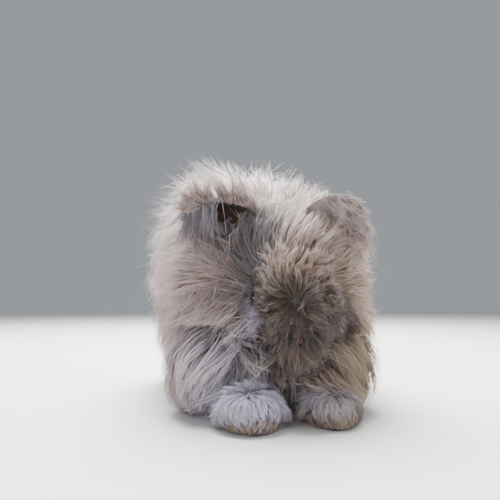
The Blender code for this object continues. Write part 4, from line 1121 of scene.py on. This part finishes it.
# Materials
class Wire:
    # one output socket, with sums written as Python expressions
    def __init__(self, tree, socket):
        self.tree, self.socket = tree, socket

    def math(self, operation, *others):
        # a Math node on this wire and other wires or numbers
        node = self.tree.nodes.new("ShaderNodeMath")
        node.operation = operation
        for index, value in enumerate((self,) + others):
            if isinstance(value, Wire):
                self.tree.links.new(value.socket, node.inputs[index])
            else:
                node.inputs[index].default_value = value
        return Wire(self.tree, node.outputs[0])

    def clamped(self):
        # held between 0 and 1
        return self.math("MAXIMUM", 0.0).math("MINIMUM", 1.0)

    def __add__(self, other):
        return self.math("ADD", other)

    def __mul__(self, other):
        return self.math("MULTIPLY", other)

    def __sub__(self, other):
        return self.math("SUBTRACT", other)

    def __rsub__(self, other):
        return (self * -1.0) + other

    def __pow__(self, other):
        return self.math("POWER", other)

    __radd__ = __add__
    __rmul__ = __mul__


class Finish:
    # one material: its Principled shader, and short ways to add nodes
    def __init__(self, name, **constants):
        self.material = bpy.data.materials.new(name)
        self.material.use_nodes = True
        self.tree = self.material.node_tree
        self.shader = self.tree.nodes["Principled BSDF"]
        for socket, value in constants.items():
            self.shader.inputs[socket.replace("_", " ")].default_value = value

    def node(self, kind, settings=None, **inputs):
        # any node: its settings first, then its sockets by name, or by number as i0, i1
        node = self.tree.nodes.new(kind)
        for key, value in (settings or {}).items():
            setattr(node, key, value)
        for key, value in inputs.items():
            socket = node.inputs[int(key[1:])] if key[0] == "i" and key[1:].isdigit() else node.inputs[key]
            if isinstance(value, Wire):
                self.tree.links.new(value.socket, socket)
            else:
                socket.default_value = value
        return node

    def attribute(self, name):
        # the number that the mesh keeps under a name
        return Wire(self.tree, self.node("ShaderNodeAttribute", {"attribute_name": name}).outputs["Fac"])

    def mix(self, share, first, second, kind="MIX"):
        # (1 - share) first + share second, for colours
        settings = {"data_type": "RGBA", "blend_type": kind}
        node = self.node("ShaderNodeMix", settings, i0=share, i6=first, i7=second)
        return Wire(self.tree, node.outputs[2])

    def noise(self, scale, detail=2.0):
        # 0 to 1, over the object's own coordinates
        place = Wire(self.tree, self.node("ShaderNodeTexCoord").outputs["Object"])
        node = self.node("ShaderNodeTexNoise", None, Vector=place, Scale=scale, Detail=detail)
        return Wire(self.tree, node.outputs["Fac"])

    def feed(self, socket, wire):
        # a wire into one of the shader's own sockets
        self.tree.links.new(wire.socket, self.shader.inputs[socket])

    def bump(self, height, strength, distance):
        # normals tilted by a height
        node = self.node("ShaderNodeBump", None, Height=height, Strength=strength, Distance=distance)
        self.feed("Normal", Wire(self.tree, node.outputs["Normal"]))


def rgb(red, green, blue):
    # from screen values of 0 to 255 to linear light
    return tuple(((value / 255.0 + 0.055) / 1.055) ** 2.4 for value in (red, green, blue)) + (1.0,)


woolColours = {
    "root": rgb(114, 92, 88), "tip": rgb(214, 191, 185),
    "warmRoot": rgb(112, 86, 60), "warmTip": rgb(192, 162, 122),
    # paleBacklitTip: cream-white tips with painted backlight over the top of the back
    "paleBacklitTip": rgb(255, 248, 244),
    "maskRoot": rgb(26, 17, 12), "maskTip": rgb(88, 64, 50),
    # brow: brown band with painted shade under the crown's overhang
    # dusk: darker grey by the right ear, and painted shade on the left forepaw
    "muzzle": rgb(90, 62, 46), "greyAndShade": rgb(70, 61, 66), "brow": rgb(132, 98, 72),
    # pocket: painted shade round the right eye and above the nose
    "pocketShade": rgb(26, 19, 18), "streak": rgb(206, 180, 152),
    "whiteRoot": rgb(128, 124, 150), "whiteTip": rgb(230, 228, 248),
    # split: painted shade in the gaps between the toes
    "toeRoot": rgb(96, 72, 54), "toeTip": rgb(196, 162, 126), "toeGapShade": rgb(58, 42, 34),
    "creamRoot": rgb(160, 153, 170), "creamTip": rgb(232, 228, 242),
    # silver ear wool, lighter at the root than the tip: a painted highlight on the tassels' upper part
    "earHighlightRoot": rgb(172, 166, 180), "earTip": rgb(112, 104, 112),
}


def woolColour(finish, along):
    # root to tip for each marking, painted shade and painted light, one laid over the other
    colours = woolColours
    tip = (along ** 1.2).clamped()
    base = finish.mix(tip, colours["root"], colours["tip"])
    warm = finish.mix(tip, colours["warmRoot"], colours["warmTip"])
    colour = finish.mix(finish.attribute("warm") * 0.9, base, warm)
    # paler tips on top: cream colour with painted backlight
    colour = finish.mix((finish.attribute("paleTopAndBacklight") * tip).clamped(), colour, colours["paleBacklitTip"])
    # darker grey by the right ear, and painted shade on the left forepaw
    colour = finish.mix(finish.attribute("greyAndShade") * 0.95, colour, colours["greyAndShade"])
    # brown band with painted shade under the crown's overhang
    colour = finish.mix(finish.attribute("brow") * 0.65, colour, colours["brow"])
    dark = finish.mix(tip, colours["maskRoot"], colours["maskTip"])
    colour = finish.mix(finish.attribute("mask"), colour, dark)
    colour = finish.mix(finish.attribute("muzzle") * 0.35, colour, colours["muzzle"])
    cream = finish.mix(tip, colours["creamRoot"], colours["creamTip"])
    colour = finish.mix(finish.attribute("cream"), colour, cream)
    white = finish.mix((along ** 0.8).clamped(), colours["whiteRoot"], colours["whiteTip"])
    colour = finish.mix(finish.attribute("white"), colour, white)
    toe = finish.mix(tip, colours["toeRoot"], colours["toeTip"])
    colour = finish.mix(finish.attribute("toe") * 0.85, colour, toe)
    # painted shade in the gaps between the toes
    colour = finish.mix(finish.attribute("toeGapShade") * 0.80, colour, colours["toeGapShade"])
    # painted shade round the right eye and above the nose, near black
    colour = finish.mix(finish.attribute("pocketShade") * 0.9, colour, colours["pocketShade"])
    # silver ear wool with a painted highlight at the root, darker to the tip
    ear = finish.mix(tip, colours["earHighlightRoot"], colours["earTip"])
    return finish.mix(finish.attribute("ear") * 0.9, colour, ear)


def woolMaterial():
    # the markings, grey-mauve patches, a few pale strands in the mask, and a shade of 0.66 + 0.50 t
    # for each strand, with t its random tint
    finish = Finish("wool", Roughness=0.62, Specular_IOR_Level=0.30, Sheen_Weight=0.25, Sheen_Roughness=0.5)
    along = finish.attribute("along")
    colour = woolColour(finish, along)
    patches = finish.noise(26.0, 2.0)
    colour = finish.mix(((patches - 0.42) * 1.6).clamped() * 0.35, colour, rgb(176, 158, 160))
    rare = ((finish.attribute("tint") - 0.86) * 30.0).clamped() * finish.attribute("mask")
    colour = finish.mix(rare * along * 0.6, colour, woolColours["streak"])
    shade = finish.attribute("tint") * 0.50 + 0.66
    grey = finish.node("ShaderNodeCombineColor", None, Red=shade, Green=shade, Blue=shade)
    finish.feed("Base Color", finish.mix(1.0, colour, Wire(finish.tree, grey.outputs["Color"]), "MULTIPLY"))
    return finish.material


def skinMaterial():
    # the markings and painted shade half mixed with skin, a rust ear with painted shade over its upper part,
    # and a pink nose
    finish = Finish("skin", Roughness=0.75, Specular_IOR_Level=0.25)
    near = finish.noise(320.0, 3.0)
    colour = finish.mix(0.5, woolColour(finish, finish.noise(60.0, 3.0) * 0.35), rgb(98, 86, 82))
    pink = finish.mix(near, rgb(104, 74, 72), rgb(152, 116, 114))
    rust = finish.mix(near, rgb(48, 25, 15), rgb(92, 52, 30))
    # painted shade inside the ear, near black under its upper rim
    rust = finish.mix((finish.attribute("shadeUnderRim") * 1.9 - 0.75).clamped(), rust, rgb(24, 15, 12))
    colour = finish.mix(finish.attribute("ear"), colour, rust)
    finish.feed("Base Color", finish.mix(finish.attribute("nose"), colour, pink))
    finish.bump(near, 0.35, 0.0006)
    return finish.material


def eyeMaterial():
    # nearly black up to 0.34 from the eye's axis, in radians, and brown from 0.62 on
    finish = Finish("eyeGloss", Roughness=0.08, Coat_Weight=0.4, Coat_Roughness=0.03, IOR=1.38)
    iris = (1.0 - finish.attribute("apart") * 1.6).clamped()
    streaks = finish.noise(900.0, 2.0)
    brown = finish.mix(streaks, rgb(20, 12, 9), rgb(40, 25, 17))
    colour = finish.mix((iris * 2.2).clamped(), brown, rgb(8, 6, 6))
    finish.feed("Base Color", colour)
    return finish.material


def lidMaterial():
    # dark wet skin with a fine grain
    finish = Finish("lidSkin", Roughness=0.5)
    grain = finish.noise(500.0, 2.0)
    finish.feed("Base Color", finish.mix(grain, rgb(26, 20, 20), rgb(50, 38, 37)))
    finish.bump(grain, 0.4, 0.0004)
    return finish.material


def clawMaterial():
    # brown horn with a fine grain
    finish = Finish("claw", Roughness=0.35)
    grain = finish.noise(220.0, 2.0)
    finish.feed("Base Color", finish.mix(grain, rgb(74, 58, 48), rgb(118, 98, 82)))
    finish.bump(grain, 0.2, 0.0003)
    return finish.material


def whiskerMaterial():
    # brown at the root and pale at the tip
    finish = Finish("whisker", Roughness=0.4)
    finish.feed("Base Color", finish.mix(finish.attribute("along"), rgb(110, 92, 80), rgb(226, 214, 200)))
    return finish.material


wool = woolMaterial()
for coatName, piece in coatPieces.items():
    piece.data.materials.append(wool)
    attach(piece, "root")
for piece in earPieces.values():
    piece.data.materials.append(wool)
    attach(piece, "root")
skin.data.materials.append(skinMaterial())
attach(skin, "root")
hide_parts("head", "neck", "torso", "tail", "ear_left", "ear_right", "foreleg_left",
            "foreleg_right", "forepaw_left", "forepaw_right", "hindleg_left", "hindleg_right",
            "hindfoot_left", "hindfoot_right")
eyeGloss, lidSkin = eyeMaterial(), lidMaterial()
for piece, node in zip(eyes, ("eye_left", "eye_right")):
    piece.data.materials.append(eyeGloss)
    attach(piece, "root")
    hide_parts(node)
for piece in lids:
    piece.data.materials.append(lidSkin)
    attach(piece, "root")
for piece, material, slotName in ((claws, clawMaterial(), "paw_wool"),
                                  (whiskers, whiskerMaterial(), "face_wool")):
    piece.data.materials.append(material)
    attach(piece, "root")
print("materials")


# Floor, light and camera
stageSettings = {
    "floor": rgb(222, 221, 219), "floorSize": 6.0, "world": 0.40,
    "camera": (-0.091, -0.590, 0.110), "azimuth": -8.0, "pitch": 5.4, "lens": 36.0, "sensor": 36.0,
    "sky": (0.86, 0.90, 0.96, 1.0), "aim": (0.0, -0.02, 0.12),
    "lights": {  # place, size in metres, power in watts
        "softAbove": ((0.00, 0.62, 1.40), 1.2, 176.0),
        "softFront": ((-0.90, -1.50, 0.70), 1.4, 12.0),
        "softRight": ((1.20, -0.40, 0.80), 1.0, 9.0),
    },
}


def makeFloor():
    # one square round the origin, at height 0
    half = stageSettings["floorSize"] / 2.0
    corners = np.array([(-half, -half, 0.0), (half, -half, 0.0), (half, half, 0.0), (-half, half, 0.0)])
    floor = makeMesh("floor", corners, np.array([(0, 1, 2), (0, 2, 3)]), False)
    finish = Finish("floorPaint", Roughness=0.6)
    finish.shader.inputs["Base Color"].default_value = stageSettings["floor"]
    floor.data.materials.append(finish.material)


def softLight(name, place, size, power):
    # a round area light that looks at the rabbit
    light = bpy.data.lights.new(name, "AREA")
    light.shape = "DISK"
    light.size = size
    light.energy = power
    lamp = bpy.data.objects.new(name, light)
    lamp.location = place
    lamp.rotation_euler = (Vector(stageSettings["aim"]) - Vector(place)).to_track_quat("-Z", "Y").to_euler()
    bpy.context.scene.collection.objects.link(lamp)


makeFloor()
for lightName, lightValues in stageSettings["lights"].items():
    softLight(lightName, *lightValues)
world = bpy.data.worlds.new("studio")
world.use_nodes = True
world.node_tree.nodes["Background"].inputs["Color"].default_value = stageSettings["sky"]
world.node_tree.nodes["Background"].inputs["Strength"].default_value = stageSettings["world"]
bpy.context.scene.world = world
camera = bpy.data.objects.new("camera", bpy.data.cameras.new("camera"))
camera.data.lens = stageSettings["lens"]
camera.data.sensor_width = stageSettings["sensor"]
camera.data.clip_start = 0.01
camera.location = onBody(stageSettings["camera"])
azimuth, pitch = math.radians(stageSettings["azimuth"]), math.radians(stageSettings["pitch"])
look = Vector((-math.sin(azimuth) * math.cos(pitch), math.cos(azimuth) * math.cos(pitch), math.sin(pitch)))
camera.rotation_euler = look.to_track_quat("-Z", "Y").to_euler()
bpy.context.scene.collection.objects.link(camera)
bpy.context.scene.camera = camera
print("stage")
